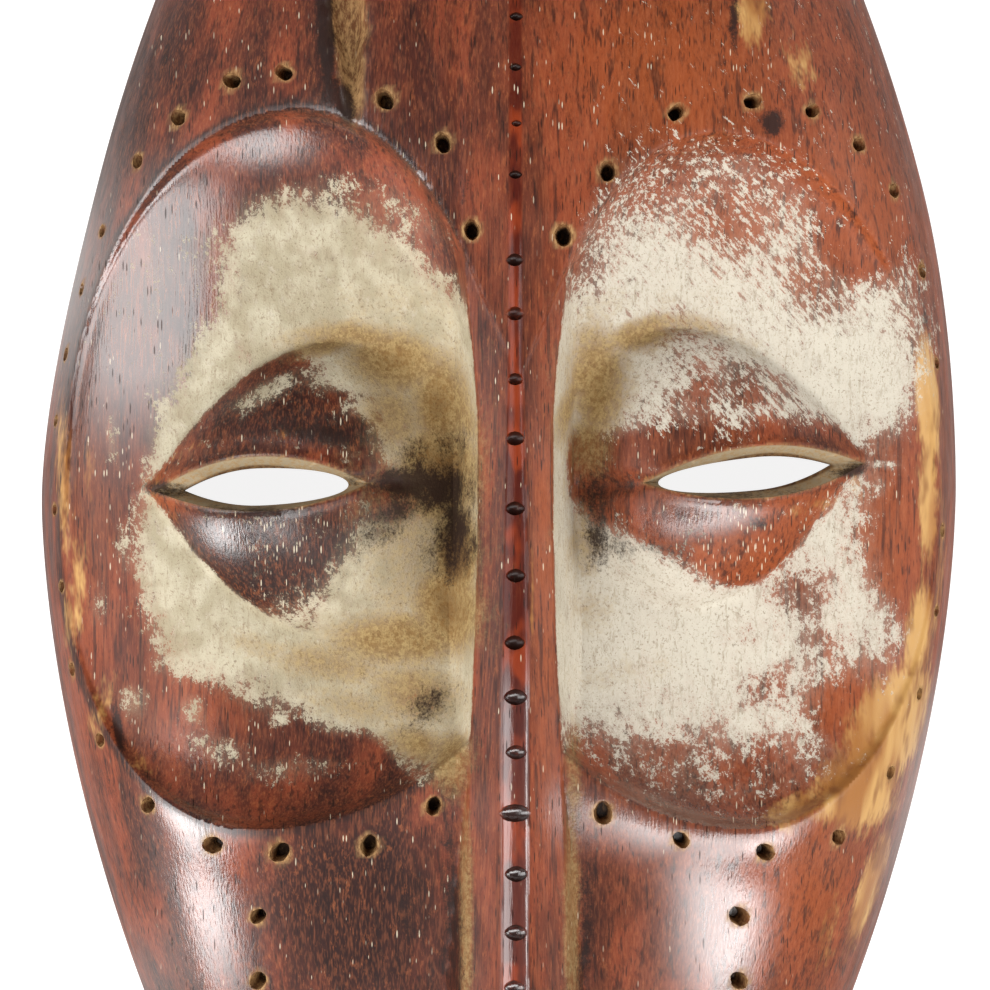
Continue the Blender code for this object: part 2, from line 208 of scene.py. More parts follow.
# %% Almonds
class Lens:
    """An almond, given in millimetres from its middle; it may be pointed at both ends."""

    def __init__(self, side, x, y, outer, inner, up, down, tilt, pointed_inside=False):
        self.side = side
        self.pointed_inside = pointed_inside
        self.x = x * MM
        self.y = y * MM
        self.outer = outer * MM
        self.inner = inner * MM
        self.up = up * MM
        self.down = down * MM
        self.tilt = math.radians(tilt)

    def local(self, x, y):
        """Distances along the almond, away from the nose, and across it."""
        out = self.side * (x - self.x)
        rise = y - self.y
        turned_out = out * math.cos(self.tilt) + rise * math.sin(self.tilt)
        turned_rise = rise * math.cos(self.tilt) - out * math.sin(self.tilt)
        return turned_out, turned_rise

    def gauge_of(self, out, rise):
        tall = np.where(rise > 0, self.up, self.down)
        reach = np.where(out > 0, self.outer, self.inner)
        pointed = (np.abs(rise) + np.hypot(rise, 2 * tall * out / reach)) / (2 * tall)
        if self.pointed_inside:
            return pointed
        return np.where(out > 0, pointed, np.hypot(out / self.inner, rise / tall))

    def gauge(self, x, y):
        return self.gauge_of(*self.local(x, y))

    def place(self, spread, angle):
        """The point at an angle round the almond; spread is 1 on its edge."""
        out = math.cos(angle) * (self.outer if math.cos(angle) > 0 else self.inner)
        rise = math.sin(angle) * (self.up if math.sin(angle) > 0 else self.down)
        reach = spread / float(self.gauge_of(out, rise))
        out *= reach
        rise *= reach
        turned_out = out * math.cos(self.tilt) - rise * math.sin(self.tilt)
        turned_rise = out * math.sin(self.tilt) + rise * math.cos(self.tilt)
        return self.x + self.side * turned_out, self.y + turned_rise


LEFT_EYE = Lens(-1, -23.1, 1.0, 27.1, 19.3, 20.7, 21.0, 0)
RIGHT_EYE = Lens(1, 25.4, 3.9, 27.1, 16.1, 19.7, 20.0, 3)
LEFT_LIDS = Lens(-1, -34.0, 1.1, 15.0, 15.6, 4.4, 3.4, -2, True)
RIGHT_LIDS = Lens(1, 37.5, 3.2, 14.6, 17.0, 3.8, 3.6, 5, True)
LEFT_SLIT = Lens(-1, -34.2, 1.0, 10.6, 12.9, 2.8, 2.5, -2)
RIGHT_SLIT = Lens(1, 36.8, 3.2, 10.6, 14.2, 2.2, 2.5, 6)
MOUTH = Lens(1, 0.6, -104, 19, 19, 9, 9, 0, True)
MOUTH_LIPS = Lens(1, 0.6, -104, 12, 12, 3, 3, 0, True)
MOUTH_SLIT = Lens(1, 0.6, -104, 10, 10, 1.9, 1.9, 0, True)
print("the eyes are", round((LEFT_EYE.outer + LEFT_EYE.inner) / MM, 1), "mm long")

# %% [markdown]
# A swelling adds its height to the ground inside its almond and takes some away outside, so that whichever
# is higher wins. The lids get a thin raised lip, and a crease runs on from them towards the nose.

# %% Swellings, lips and creases
EYE_HEIGHT = 8.5 * MM
MOUTH_HEIGHT = 4 * MM
SIDE_FALL = 14 * MM         # how fast a swelling drops away beyond its own edge


def swelling(lens, height, x, y):
    """Height above the ground; negative outside the almond, so that the ground wins there."""
    out, rise = lens.local(x, y)
    gauge = lens.gauge_of(out, rise)
    softer = 0 if lens.pointed_inside else smoothstep(3 * MM, -14 * MM, out)
    inside = height * np.maximum(1 - np.minimum(gauge, 1) ** 2.2, 0) ** (0.72 + 0.85 * softer)
    return inside - SIDE_FALL * np.maximum(gauge - 1, 0)


LIP_HEIGHT = 0.4 * MM
LIP_WIDTH = 0.55 * MM
CREASE_DEPTH = 1.5 * MM
CREASE_WIDTH = 1.5 * MM
CREASE_LENGTH = 11 * MM


def lid_detail(lids, x, y):
    """A thin raised lip round the lids, and a crease that runs on from them towards the nose."""
    out, rise = lids.local(x, y)
    gauge = lids.gauge_of(out, rise)
    beyond = (gauge - 1) * 0.5 * (lids.up + lids.down)
    lip = LIP_HEIGHT * np.exp(-((beyond - 0.3 * MM) / LIP_WIDTH) ** 2)
    run = -out - lids.inner
    along = smoothstep(-4 * MM, 1 * MM, run) * smoothstep(CREASE_LENGTH, 3 * MM, run)
    return lip - CREASE_DEPTH * along * np.exp(-(rise / CREASE_WIDTH) ** 2)


# %% [markdown]
# The nose is what the sockets leave standing: a strip with sloping flanks and steep side walls, narrowest
# between the eyes. A rounded bead runs down its middle. It starts as a mere line on the forehead and
# grows to 3.7 mm wide below the eyes.

# %% Nose
NOSE_TOP_Y = 108 * MM
NOSE_TIP_Y = -87 * MM
NOSE_TIP_Z = 56 * MM
NOSE_RUNS_OUT_Y = 30 * MM
NOSE_WAIST_Y = 2 * MM
NOSE_WAIST = 10.4 * MM
NOSE_FOOT_WIDTH = 14.6 * MM
NOSE_FLARE = 15 * MM
BEAD_HEIGHT = 0.8 * MM
BEAD_HALF_HIGH = 0.8 * MM   # half the bead's width at its upper end
BEAD_HALF_LOW = 1.85 * MM   # and from below the eyes to the tip
FLANK_DROP = 2.6 * MM
WALL_SLOPE = 3.2
TIP_ROUNDING = 7 * MM
TIP_DROP = 5 * MM
TIP_FALL = 4.5


def nose_half_width(y):
    low = smoothstep(NOSE_WAIST_Y, NOSE_TIP_Y + 16 * MM, y)
    high = smoothstep(NOSE_WAIST_Y + 6 * MM, 40 * MM, y)
    return 0.5 * (NOSE_WAIST + (NOSE_FOOT_WIDTH - NOSE_WAIST) * low + (NOSE_FLARE - NOSE_WAIST) * high)


def nose_crest(y):
    forehead = CROWN * profile(y) + 0.7 * MM
    forehead = forehead - 1.4 * MM * smoothstep(NOSE_TOP_Y - 12 * MM, NOSE_TOP_Y, y)
    start = CROWN * float(profile(NOSE_RUNS_OUT_Y)) + 0.7 * MM
    down = (NOSE_RUNS_OUT_Y - y) / (NOSE_RUNS_OUT_Y - NOSE_TIP_Y)
    return np.where(y > NOSE_RUNS_OUT_Y, forehead, start + (NOSE_TIP_Z - start) * down)


def flank_drop(y):
    """The flanks slope away from the crest below the eyes, and are almost level on the forehead."""
    return FLANK_DROP * (0.3 + 0.7 * smoothstep(42 * MM, 4 * MM, y))


def bead_half_width(y):
    return BEAD_HALF_HIGH + (BEAD_HALF_LOW - BEAD_HALF_HIGH) * smoothstep(34 * MM, -26 * MM, y)


def nose(x, y):
    off = np.abs(x - NOSE_X)
    half = nose_half_width(y)
    bead_half = bead_half_width(y)
    flank = np.clip((off - bead_half) / (half - bead_half), 0, 1)
    bead = BEAD_HEIGHT * smoothstep(44 * MM, 24 * MM, y)
    round_top = np.sqrt(np.maximum(1 - (off / bead_half) ** 2, 0))
    z = nose_crest(y) - bead * (1 - round_top) - flank_drop(y) * flank ** 1.3
    z = z - WALL_SLOPE * np.maximum(off - half, 0)
    into_tip = np.clip(1 - (y - NOSE_TIP_Y) / TIP_ROUNDING, 0, 1)
    z = z - TIP_DROP * (1 - np.sqrt(1 - into_tip * into_tip))
    return z - TIP_FALL * np.maximum(NOSE_TIP_Y - y, 0)


# %% [markdown]
# Now the pieces of the form are put together into one height for every point of the face. A carved
# surface is never quite even, so slow waves a quarter of a millimetre high and quicker ones of a tenth,
# longer along the grain than across it, stand for the marks of the adze and the knife.

# %% The height of the face
GOUGE_X = -22.0 * MM
GOUGE_Y = 76 * MM
GOUGE_TILT = math.radians(4)
GOUGE_HALF = 2.9 * MM
GOUGE_REACH = 25.5 * MM
GOUGE_DEPTH = 2.6 * MM
FILLET = 0.5 * MM
SLOW_WAVE = 0.13 * MM
QUICK_WAVE = 0.05 * MM


def gouge_gauge(x, y):
    """The old loss in the forehead, a split that follows the grain."""
    across = (x - GOUGE_X) * math.cos(GOUGE_TILT) + (y - GOUGE_Y) * math.sin(GOUGE_TILT)
    along = (y - GOUGE_Y) * math.cos(GOUGE_TILT) - (x - GOUGE_X) * math.sin(GOUGE_TILT)
    ragged = 1 + 0.12 * np.sin(along / (1.9 * MM)) + 0.08 * np.sin(along / (0.8 * MM) + 2)
    return np.hypot(across / (GOUGE_HALF * ragged), along / GOUGE_REACH)


def hand_marks(x, y):
    slow = np.sin(x / (7 * MM) + 1.4 * np.sin(y / (19 * MM))) * np.sin(y / (23 * MM) + 0.8)
    quick = np.sin(x / (3.1 * MM) + 1.1 * np.sin(y / (13 * MM) + 1))
    quick = quick * np.sin(y / (9 * MM) + 2 * np.sin(x / (11 * MM)))
    return SLOW_WAVE * slow + QUICK_WAVE * quick


def face_height(x, y):
    ground = dome(x, y)
    for socket in (LEFT_SOCKET, RIGHT_SOCKET):
        ground = ground - socket_cut(socket, x, y)
    for eye in (LEFT_EYE, RIGHT_EYE):
        ground = soft_max(ground, ground + swelling(eye, EYE_HEIGHT, x, y), FILLET)
    ground = soft_max(ground, ground + swelling(MOUTH, MOUTH_HEIGHT, x, y), FILLET)
    for lids in (LEFT_LIDS, RIGHT_LIDS, MOUTH_LIPS):
        ground = ground + lid_detail(lids, x, y)
    ground = soft_max(ground, nose(x, y), FILLET)
    gauge = gouge_gauge(x, y)
    ground = ground - GOUGE_DEPTH * smoothstep(1.0, 0.55, gauge)
    steady = smoothstep(0, 12 * MM, ground)
    return ground + hand_marks(x, y) * steady


# %% [markdown]
# The front is one sheet. It starts as a flat grid from create_grid and is bent over the oval: each row is
# stretched to the outline's width, and its columns are drawn together at the nose and at the steep edge,
# where the form changes fastest. A voxel remesh of joined solids would be quicker to write, but it
# would blur the crisp edges of the sockets.

# %% Front sheet
COLUMNS = 190
ROWS = 260
PHOTO_REACH = 74 * MM       # the rows are closest together within this distance of the middle
SIDE_COARSER = 0.45


def spread(density, run, count):
    """Places along a run, closer together where the density is high."""
    steps = 0.5 * (density[1:] + density[:-1]) * np.diff(run)
    total = np.concatenate(([0], np.cumsum(steps)))
    return np.interp(np.linspace(0, total[-1], count), total, run)


def row_places(count):
    run = np.linspace(-LENGTH / 2, LENGTH / 2, 2001)
    reach = np.abs(run)
    density = 0.45 + 0.55 * smoothstep(PHOTO_REACH + 8 * MM, PHOTO_REACH, reach)
    density += 2.4 * smoothstep(LENGTH / 2 - 9 * MM, LENGTH / 2, reach)
    return spread(density, run, count)


def column_places(reach, height, count):
    """Even steps along the curve of the dome, smaller ones on the nose."""
    turn = np.linspace(0, math.pi / 2, 801)
    run = max(reach, SMALL) * np.sin(turn) ** (2 / DOME_POWER)
    rise = height * np.cos(turn) ** (2 / DOME_POWER)
    length = np.concatenate(([0], np.cumsum(np.hypot(np.diff(run), np.diff(rise)))))
    density = 1 + 1.5 * np.exp(-(run / (8.5 * MM)) ** 4)
    density -= SIDE_COARSER * smoothstep(0.9, 0.98, run / run[-1])
    return np.interp(spread(density, length, count), length, run)


def bend_sheet(name, columns, rows, shape):
    """A flat grid, every point of which is then put in its place."""
    bm = bmesh.new()
    bmesh.ops.create_grid(bm, x_segments=columns, y_segments=rows, size=1)
    mesh = bpy.data.meshes.new(name)
    bm.to_mesh(mesh)
    bm.free()
    flat = np.empty(len(mesh.vertices) * 3)
    mesh.vertices.foreach_get("co", flat)
    flat = flat.reshape(-1, 3)
    column = np.rint((flat[:, 0] + 1) / 2 * columns).astype(int)
    row = np.rint((flat[:, 1] + 1) / 2 * rows).astype(int)
    mesh.vertices.foreach_set("co", shape(column, row).ravel())
    return mesh


def front_places(column, row):
    y_of_row = row_places(ROWS + 1)
    half = COLUMNS // 2
    x_of = np.empty((ROWS + 1, COLUMNS + 1))
    for number, y in enumerate(y_of_row):
        wide = float(half_width(y))
        middle = float(midline(y))
        start = np.clip(NOSE_X, middle - 0.8 * wide, middle + 0.8 * wide)
        high = CROWN * float(profile(y))
        x_of[number, :half + 1] = start - column_places(start - middle + wide, high, half + 1)[::-1]
        x_of[number, half:] = start + column_places(middle + wide - start, high, half + 1)
    x = x_of[row, column]
    y = y_of_row[row]
    z = np.where((column == 0) | (column == COLUMNS), 0, face_height(x, y))
    z = np.where((row == 0) | (row == ROWS), 0, z)
    return np.column_stack((x, y, np.maximum(z, 0)))


front = bend_sheet("front", COLUMNS, ROWS, front_places)
print("front sheet:", len(front.polygons), "faces")

# %% [markdown]
# Points a little less than a millimetre apart do for the domes but not for the sharp places: the edges of the
# sockets, the foot of the eyes, the sides of the nose and the split in the forehead. There the faces are
# cut in four with subdivide_edges, and the new points are lifted to the true height. That costs far fewer
# faces than a finer grid all over.

# %% Finer faces at the sharp places
SHARP_BAND = 1.3 * MM


def is_sharp(x, y):
    sharp = np.zeros(len(x), dtype=bool)
    for socket in (LEFT_SOCKET, RIGHT_SOCKET):
        gauge = socket.polar(x, y)[0]
        sharp |= np.abs(1 - gauge) * 0.5 * (socket.outer + socket.top) < SHARP_BAND
    for eye in (LEFT_EYE, RIGHT_EYE):
        sharp |= np.abs(1 - eye.gauge(x, y)) * eye.up < SHARP_BAND
    off = np.abs(x - NOSE_X)
    beside_nose = np.abs(off - nose_half_width(y) - 0.4 * MM) < 0.8 * SHARP_BAND
    beside_nose |= off < bead_half_width(y) + 0.5 * MM
    for lids in (LEFT_LIDS, RIGHT_LIDS):
        gauge = lids.gauge(x, y)
        sharp |= (gauge > 0.9) & (gauge < 1.4)
    sharp |= beside_nose & (y < 42 * MM) & (y > NOSE_TIP_Y - 3 * MM)
    gouge = gouge_gauge(x, y)
    return sharp | ((gouge > 0.35) & (gouge < 1.1))


def refine(mesh):
    bm = bmesh.new()
    bm.from_mesh(mesh)
    places = np.array([vert.co[:2] for vert in bm.verts])
    sharp = is_sharp(places[:, 0], places[:, 1])
    bm.verts.index_update()
    edges = [edge for edge in bm.edges if all(sharp[vert.index] for vert in edge.verts)]
    bmesh.ops.subdivide_edges(bm, edges=edges, cuts=1, use_grid_fill=True)
    for face in bm.faces:
        face.smooth = True
    bm.to_mesh(mesh)
    bm.free()
    points = np.empty(len(mesh.vertices) * 3)
    mesh.vertices.foreach_get("co", points)
    points = points.reshape(-1, 3)
    lifted = np.maximum(face_height(points[:, 0], points[:, 1]), 0)
    points[:, 2] = np.where(points[:, 2] > 0, lifted, 0)
    mesh.vertices.foreach_set("co", points.ravel())


refine(front)
print("after refining:", len(front.polygons), "faces")

# %% [markdown]
# Behind, the mask is hollowed with a gouge. That leaves about 13 mm of wood under the eye sockets and up to
# 19 in the forehead and the cheeks. The hollow's sheet is coarser, because nobody looks at it closely, and
# the strokes of the tool show in it as shallow flutes. The two sheets are joined by a rim, 7.5 mm wide at the
# sides and 11 at the ends, worn round at both edges, which bridge_loops closes.

# %% Hollow and rim
SIDE_RIM = 7.5 * MM
END_RIM = 11 * MM
HOLLOW_HEIGHT = 30 * MM
BACK_COLUMNS = 70
BACK_ROWS = ROWS // 2
INNER_WIDTH = 1 - 2 * SIDE_RIM / WIDTH
INNER_LENGTH = 1 - 2 * END_RIM / LENGTH
FLUTE = 7 * MM
FLUTE_DEPTH = 0.35 * MM


def back_places(column, row):
    y = 0.5 * LENGTH * np.sin((2 * row / BACK_ROWS - 1) * math.pi / 2)
    turn = (2 * column / BACK_COLUMNS - 1) * math.pi / 2
    across = np.sign(turn) * np.abs(np.sin(turn)) ** (2 / DOME_POWER)
    x = midline(y) + half_width(y) * across * INNER_WIDTH
    z = HOLLOW_HEIGHT * profile(y) * arch(np.abs(across))
    ridge = np.abs(np.sin(math.pi * x / FLUTE + 0.6 * np.sin(y / (12 * MM))))
    broken = 0.6 + 0.4 * np.sin(y / (6 * MM) + 3 * np.sin(x / (5 * MM)))
    z = z - FLUTE_DEPTH * (1 - ridge) * broken * smoothstep(2 * MM, 8 * MM, z)
    return np.column_stack((x, y * INNER_LENGTH, np.maximum(z, 0)))


back = bend_sheet("back", BACK_COLUMNS, BACK_ROWS, back_places)

RIM_WEAR = 0.8 * MM
RIM_STEPS = (0.1, 0.9)      # where the flat part of the rim starts and ends, from the outer edge in


def join_sheets(front_mesh, back_mesh):
    """Turn the front's edge under, and close it to the hollow's edge."""
    bm = bmesh.new()
    bm.from_mesh(front_mesh)
    bmesh.ops.remove_doubles(bm, verts=bm.verts, dist=0.02 * MM)
    ring = [edge for edge in bm.edges if edge.is_boundary]
    for vert in {vert for edge in ring for vert in edge.verts}:
        vert.co.z = RIM_WEAR
    before = 0
    for share in RIM_STEPS:
        made = bmesh.ops.extrude_edge_only(bm, edges=ring)
        ring = [item for item in made["geom"] if isinstance(item, bmesh.types.BMEdge)]
        narrower = (1 - share * (1 - INNER_WIDTH)) / (1 - before * (1 - INNER_WIDTH))
        shorter = (1 - share * (1 - INNER_LENGTH)) / (1 - before * (1 - INNER_LENGTH))
        for vert in {vert for edge in ring for vert in edge.verts}:
            middle = float(midline(vert.co.y))
            vert.co = (middle + (vert.co.x - middle) * narrower, vert.co.y * shorter, 0)
        before = share
    face_side = set(bm.faces)
    bm.from_mesh(back_mesh)
    hollow_side = [face for face in bm.faces if face not in face_side]
    bmesh.ops.reverse_faces(bm, faces=hollow_side)
    bmesh.ops.remove_doubles(bm, verts=bm.verts, dist=0.02 * MM)
    inner_ring = [edge for edge in bm.edges if edge.is_boundary and edge not in set(ring)]
    for vert in {vert for edge in inner_ring for vert in edge.verts}:
        vert.co.z = RIM_WEAR
    bmesh.ops.bridge_loops(bm, edges=ring + inner_ring)
    bmesh.ops.recalc_face_normals(bm, faces=bm.faces)
    print("open edges left in the shell:", sum(edge.is_boundary for edge in bm.edges))
    mesh = bpy.data.meshes.new("carved_mask")
    bm.to_mesh(mesh)
    bm.free()
    return mesh


mask = bpy.data.objects.new("carved_mask", join_sheets(front, back))
bpy.context.scene.collection.objects.link(mask)

# %% [markdown]
# The eye slits and the mouth are funnels: the lids slope in for a few millimetres, and from there the cut
# goes straight through the wall. Pushing points of the sheet about would leave ragged edges, so these are
# real cuts, each with a Boolean. The cutter is a drum whose rings are laid on the lids' surface.

# %% Slit cutters
THROAT = 3.2 * MM
ABOVE_FACE = 75 * MM
BELOW_RIM = -5 * MM
cutters = []


def to_cutter(name, bm):
    bmesh.ops.recalc_face_normals(bm, faces=bm.faces)
    if bm.calc_volume(signed=True) < 0:
        bmesh.ops.reverse_faces(bm, faces=bm.faces)
    mesh = bpy.data.meshes.new(name)
    bm.to_mesh(mesh)
    bm.free()
    cutter = bpy.data.objects.new(name, mesh)
    bpy.context.scene.collection.objects.link(cutter)
    cutters.append(cutter)


def add_slit(name, lids, slit):
    levels = ((slit, 1, None, BELOW_RIM), (slit, 1, -THROAT, 0), (lids, 1, 0, 0),
              (lids, 1.15, 1.2 * MM, 0), (lids, 1.15, None, ABOVE_FACE))
    bm = bmesh.new()
    bmesh.ops.create_cone(bm, cap_ends=True, segments=56, radius1=1, radius2=1, depth=4)
    sides = [edge for edge in bm.edges if abs(edge.verts[0].co.z - edge.verts[1].co.z) > 1]
    bmesh.ops.subdivide_edges(bm, edges=sides, cuts=3)
    for vert in bm.verts:
        lens, size, rise, level = levels[round(vert.co.z + 2)]
        x, y = lens.place(size, math.atan2(vert.co.y, vert.co.x))
        if rise is None:
            vert.co = (x, y, level)
        else:
            vert.co = (x, y, float(face_height(np.array(x), np.array(y))) + rise)
    to_cutter(name, bm)


add_slit("left_slit", LEFT_LIDS, LEFT_SLIT)
add_slit("right_slit", RIGHT_LIDS, RIGHT_SLIT)
add_slit("mouth_slit", MOUTH_LIPS, MOUTH_SLIT)

# %% [markdown]
# Rows of blind holes, drilled by hand, follow the sockets and run down the cheeks. None is quite like the
# next, so each cutter gets its own size and turn from a seeded draw. They are longer along the grain than
# across it, as a hole burnt or drilled in open wood is, and they stand square to the surface.

# %% Drilled holes
LEFT_HOLES = (
    (-49.9, -44.1), (-56.8, -34.9), (-60.9, -24.9), (-62.4, -13.1), (-63.4, -2.1),
    (-63.3, 10.6), (-61.9, 20.1), (-59.6, 29.4), (-56.6, 37.7), (-51.5, 47.6),
    (-45.6, 53.7), (-37.9, 58.9), (-30.5, 60.0), (-16.1, 56.1), (-7.9, 50.0),
    (-3.8, 37.6), (-9.2, -44.1), (-18.4, -49.7), (-31.1, -50.7), (-40.6, -49.7),
)
RIGHT_HOLES = (
    (9.2, 36.8), (15.5, 45.9), (25.2, 54.3), (36.1, 55.9), (44.6, 54.6),
    (51.3, 49.9), (56.4, 43.4), (60.5, 32.0), (62.6, 18.8), (63.4, -5.1),
    (62.6, -16.6), (60.1, -28.4), (55.9, -39.6), (48.4, -48.7), (37.9, -50.7),
    (25.9, -48.9), (14.8, -45.1),
)
CHEEK_ROW_X = 34.2 * MM
CHEEK_ROW_TOP = -59.8 * MM
CHEEK_BEND_Y = -69 * MM
CHEEK_BEND_DROP = 50 * MM
CHEEK_BEND_HOLES = 7
HOLE_RADIUS = 1.25 * MM
HOLE_DEPTH = 3.6 * MM
HOLE_LIP = 1.2 * MM
ALONG_GRAIN = 1.35
draw = np.random.default_rng(7)


def hole_places():
    for x, y in LEFT_HOLES + RIGHT_HOLES:
        yield x * MM, y * MM
    for side in (-1, 1):
        yield side * CHEEK_ROW_X, CHEEK_ROW_TOP
        for number in range(CHEEK_BEND_HOLES):
            turn = math.radians(80) * number / (CHEEK_BEND_HOLES - 1)
            yield side * CHEEK_ROW_X * math.cos(turn), CHEEK_BEND_Y - CHEEK_BEND_DROP * math.sin(turn)


def surface_normal(x, y):
    step = 0.4 * MM
    slope_x = float(dome(x + step, y) - dome(x - step, y)) / (2 * step)
    slope_y = float(dome(x, y + step) - dome(x, y - step)) / (2 * step)
    return Vector((-slope_x, -slope_y, 1)).normalized()


holes = []
bm = bmesh.new()
for x, y in hole_places():
    normal = surface_normal(x, y)
    surface = Vector((x, y, float(face_height(np.array(x), np.array(y)))))
    radius = HOLE_RADIUS * draw.uniform(0.82, 1.12)
    edge_on = 0.75 + 0.25 * normal.z
    turn = normal.to_track_quat("Z", "Y").to_matrix().to_4x4()
    turn = turn @ Matrix.Rotation(draw.uniform(-0.3, 0.3), 4, "Z")
    shape = Matrix.Diagonal((radius * edge_on, radius * ALONG_GRAIN * edge_on, 1, 1))
    middle = Matrix.Translation(surface + normal * (HOLE_LIP - HOLE_DEPTH) / 2)
    made = bmesh.ops.create_cone(bm, cap_ends=True, segments=14, radius1=0.55, radius2=1.12,
                                 depth=HOLE_DEPTH + HOLE_LIP, matrix=middle @ turn @ shape)
    for vert in made["verts"]:
        off = vert.co - surface
        across = off - normal * off.dot(normal)
        vert.co += across * draw.uniform(-0.1, 0.06)
    holes.append((surface, normal, radius * edge_on))
to_cutter("drilled_holes", bm)
print(len(holes), "drilled holes")

# %% [markdown]
# A row of little cuts crosses the nose's crest from the forehead to the tip. Each is an almond-shaped nick
# of a knife, and one of them, below the eyes, is much larger than the rest.

# %% Nicks in the crest
NOTCH_HALF = (1.65, 1.1, 1.2)
NOTCHES = (
    84.5, 76, 67.9, 60.7, 52.7, 45.4, 33.3, 25.7, 16.4, 8.0, -1.9,
    -11.4, -20.9, -28.6, -36.4, -53.6, -61.9, -69.7, -77.5,
)
BIG_NOTCH_Y = -45.0
BIG_NOTCH_HALF = (2.8, 1.3, 1.5)
nicks = []


def add_nick(bm, y, half):
    x = NOSE_X + draw.uniform(-0.2, 0.2) * MM
    z = float(nose_crest(np.array(y * MM)))
    wide, tall, deep = (part * MM for part in half)
    made = bmesh.ops.create_uvsphere(bm, u_segments=16, v_segments=10, radius=1)
    for vert in made["verts"]:
        pinch = (1 - abs(vert.co.x)) ** 0.35 if abs(vert.co.x) < 1 else 0
        vert.co.y *= 0.6 + 0.4 * pinch
        vert.co = (x + vert.co.x * wide, y * MM + vert.co.y * tall, z + vert.co.z * deep)
    nicks.append((x, y * MM, wide, tall))


bm = bmesh.new()
for y in NOTCHES:
    size = draw.uniform(0.8, 1.15)
    faint = 0.55 if y > 40 else 1
    add_nick(bm, y, [size * part * faint for part in NOTCH_HALF])
add_nick(bm, BIG_NOTCH_Y, BIG_NOTCH_HALF)
to_cutter("crest_nicks", bm)

# %% [markdown]
# All the cutters are now taken out of the mask by exact Booleans, in the order in which they were made. The
# result is read back as a plain mesh, so no modifier and no cutter is left behind. Faces that meet at more
# than 38 degrees keep a hard edge between them, which keeps the slits and holes crisp on a smooth face.

# %% Make the cuts
SHARP_ANGLE = math.radians(38)

for cutter in cutters:
    cut = mask.modifiers.new(cutter.name, "BOOLEAN")
    cut.operation = "DIFFERENCE"
    cut.object = cutter
    cut.solver = "EXACT"
cut_mesh = bpy.data.meshes.new_from_object(mask.evaluated_get(bpy.context.evaluated_depsgraph_get()))
mask.modifiers.clear()
mask.data = cut_mesh
for cutter in cutters:
    bpy.data.objects.remove(cutter, do_unlink=True)
cut_mesh.shade_smooth()
cut_mesh.set_sharp_from_angle(angle=SHARP_ANGLE)
print("the carved mask has", sum(len(face.vertices) - 2 for face in cut_mesh.polygons), "triangles")

# %% [markdown]
# The finish of the real mask has layers: a glossy red-brown patina from handling, white clay rubbed into the
# sockets and worn off again, brown dirt, soot, and bare ochre wood where an edge has rubbed. Painted shade is
# laid in with the dirt and the soot, in the creases, valleys and cuts.
# Where each lies is worked out here for every point of the mesh and kept as an attribute. The shader then
# breaks up their edges with fine noise. Painting a texture would be the other way, but attributes stay
# tied to the form, so the clay really ends at the nose and at the lids.
#
# What follows no rule, such as a stain or a rubbed spot, is one soft-edged ellipse in a short list: its
# middle, its two half widths, how far it is turned, and its strength, in millimetres and degrees.

# %% Soft patches
def patches(spots, x, y):
    strength = np.zeros(len(x))
    for middle_x, middle_y, wide, tall, turn, most in spots:
        away_x = x / MM - middle_x
        away_y = y / MM - middle_y
        turn = math.radians(turn)
        across = (away_x * math.cos(turn) + away_y * math.sin(turn)) / wide
        along = (away_y * math.cos(turn) - away_x * math.sin(turn)) / tall
        strength = np.maximum(strength, most * np.exp(-(across ** 2 + along ** 2) ** 1.2))
    return strength


# %% [markdown]
# The clay fills each socket from the nose outwards. How far it still reaches is given at a few angles round
# the socket; on the left it was worn away first along the outer edge, on the right it frays out in
# patches. The eyes have less of it, because fingers and cloth rub on what stands proud.

# %% Where the clay lies
LEFT_CLAY_EDGE = (
    (-150, 1.15), (-132, 1.02), (-120, 0.97), (-113, 0.8), (-106, 0.77), (-98, 0.66), (-72, 0.62),
    (-59, 0.66), (-48, 0.72), (-35, 0.69), (-22, 0.69), (-3, 0.64), (9, 0.62), (26, 0.57), (48, 0.56),
    (59, 0.68), (71, 0.74), (88, 0.76), (103, 0.76), (118, 0.78), (138, 0.84), (155, 0.95), (170, 1.15),
)
RIGHT_CLAY_EDGE = (
    (-150, 1.15), (-128, 0.98), (-113, 0.89), (-97, 0.86), (-78, 0.85), (-57, 0.87), (-40, 0.88),
    (-28, 0.86), (-22, 0.7), (-12, 0.62), (-3, 0.66), (8, 0.78), (13, 0.9), (21, 1.0), (35, 1.02),
    (44, 0.88), (57, 0.86), (79, 0.85), (97, 0.88), (120, 0.94), (140, 0.96), (160, 1.15),
)
LEFT_CLAY_FADE = 0.14
RIGHT_CLAY_FADE = 0.28
RIGHT_CLAY_COVER = 0.93
CLAY_GONE = (
    (32, 37, 9, 6, -35, 0.42), (44, 29, 8, 5, -40, 0.42), (50, 35, 6, 6, -30, 0.42),
    (24, 42, 6, 3, 30, 0.3), (43, -14, 6, 7, 40, 0.55), (46, -21, 5, 6, 30, 0.45), (39, -27, 6, 4, 15, 0.5),
    (48, -29, 6.5, 6, 40, 0.5), (35, -20, 3.4, 3, 0, 0.36), (26, -35, 10, 4.6, 0, 0.24),
    (13, -36, 6, 5, 0, 0.2), (36, -37, 7, 4, 15, 0.3), (20, -28, 9, 4, 0, 0.16), (52, 8, 4, 5, 0, 0.3),
    (-11, -29, 4.5, 3.2, 20, 0.3), (-20, -36, 7, 2.5, -8, 0.3), (-38, 30, 3, 5, -20, 0.3),
    (-36, 20, 2, 4, 0, 0.25), (-24, 34, 9, 1.0, -8, 0.3), (30, 22, 14, 4, -10, 0.14),
    (14, 30, 6, 5, 0, 0.16),
)
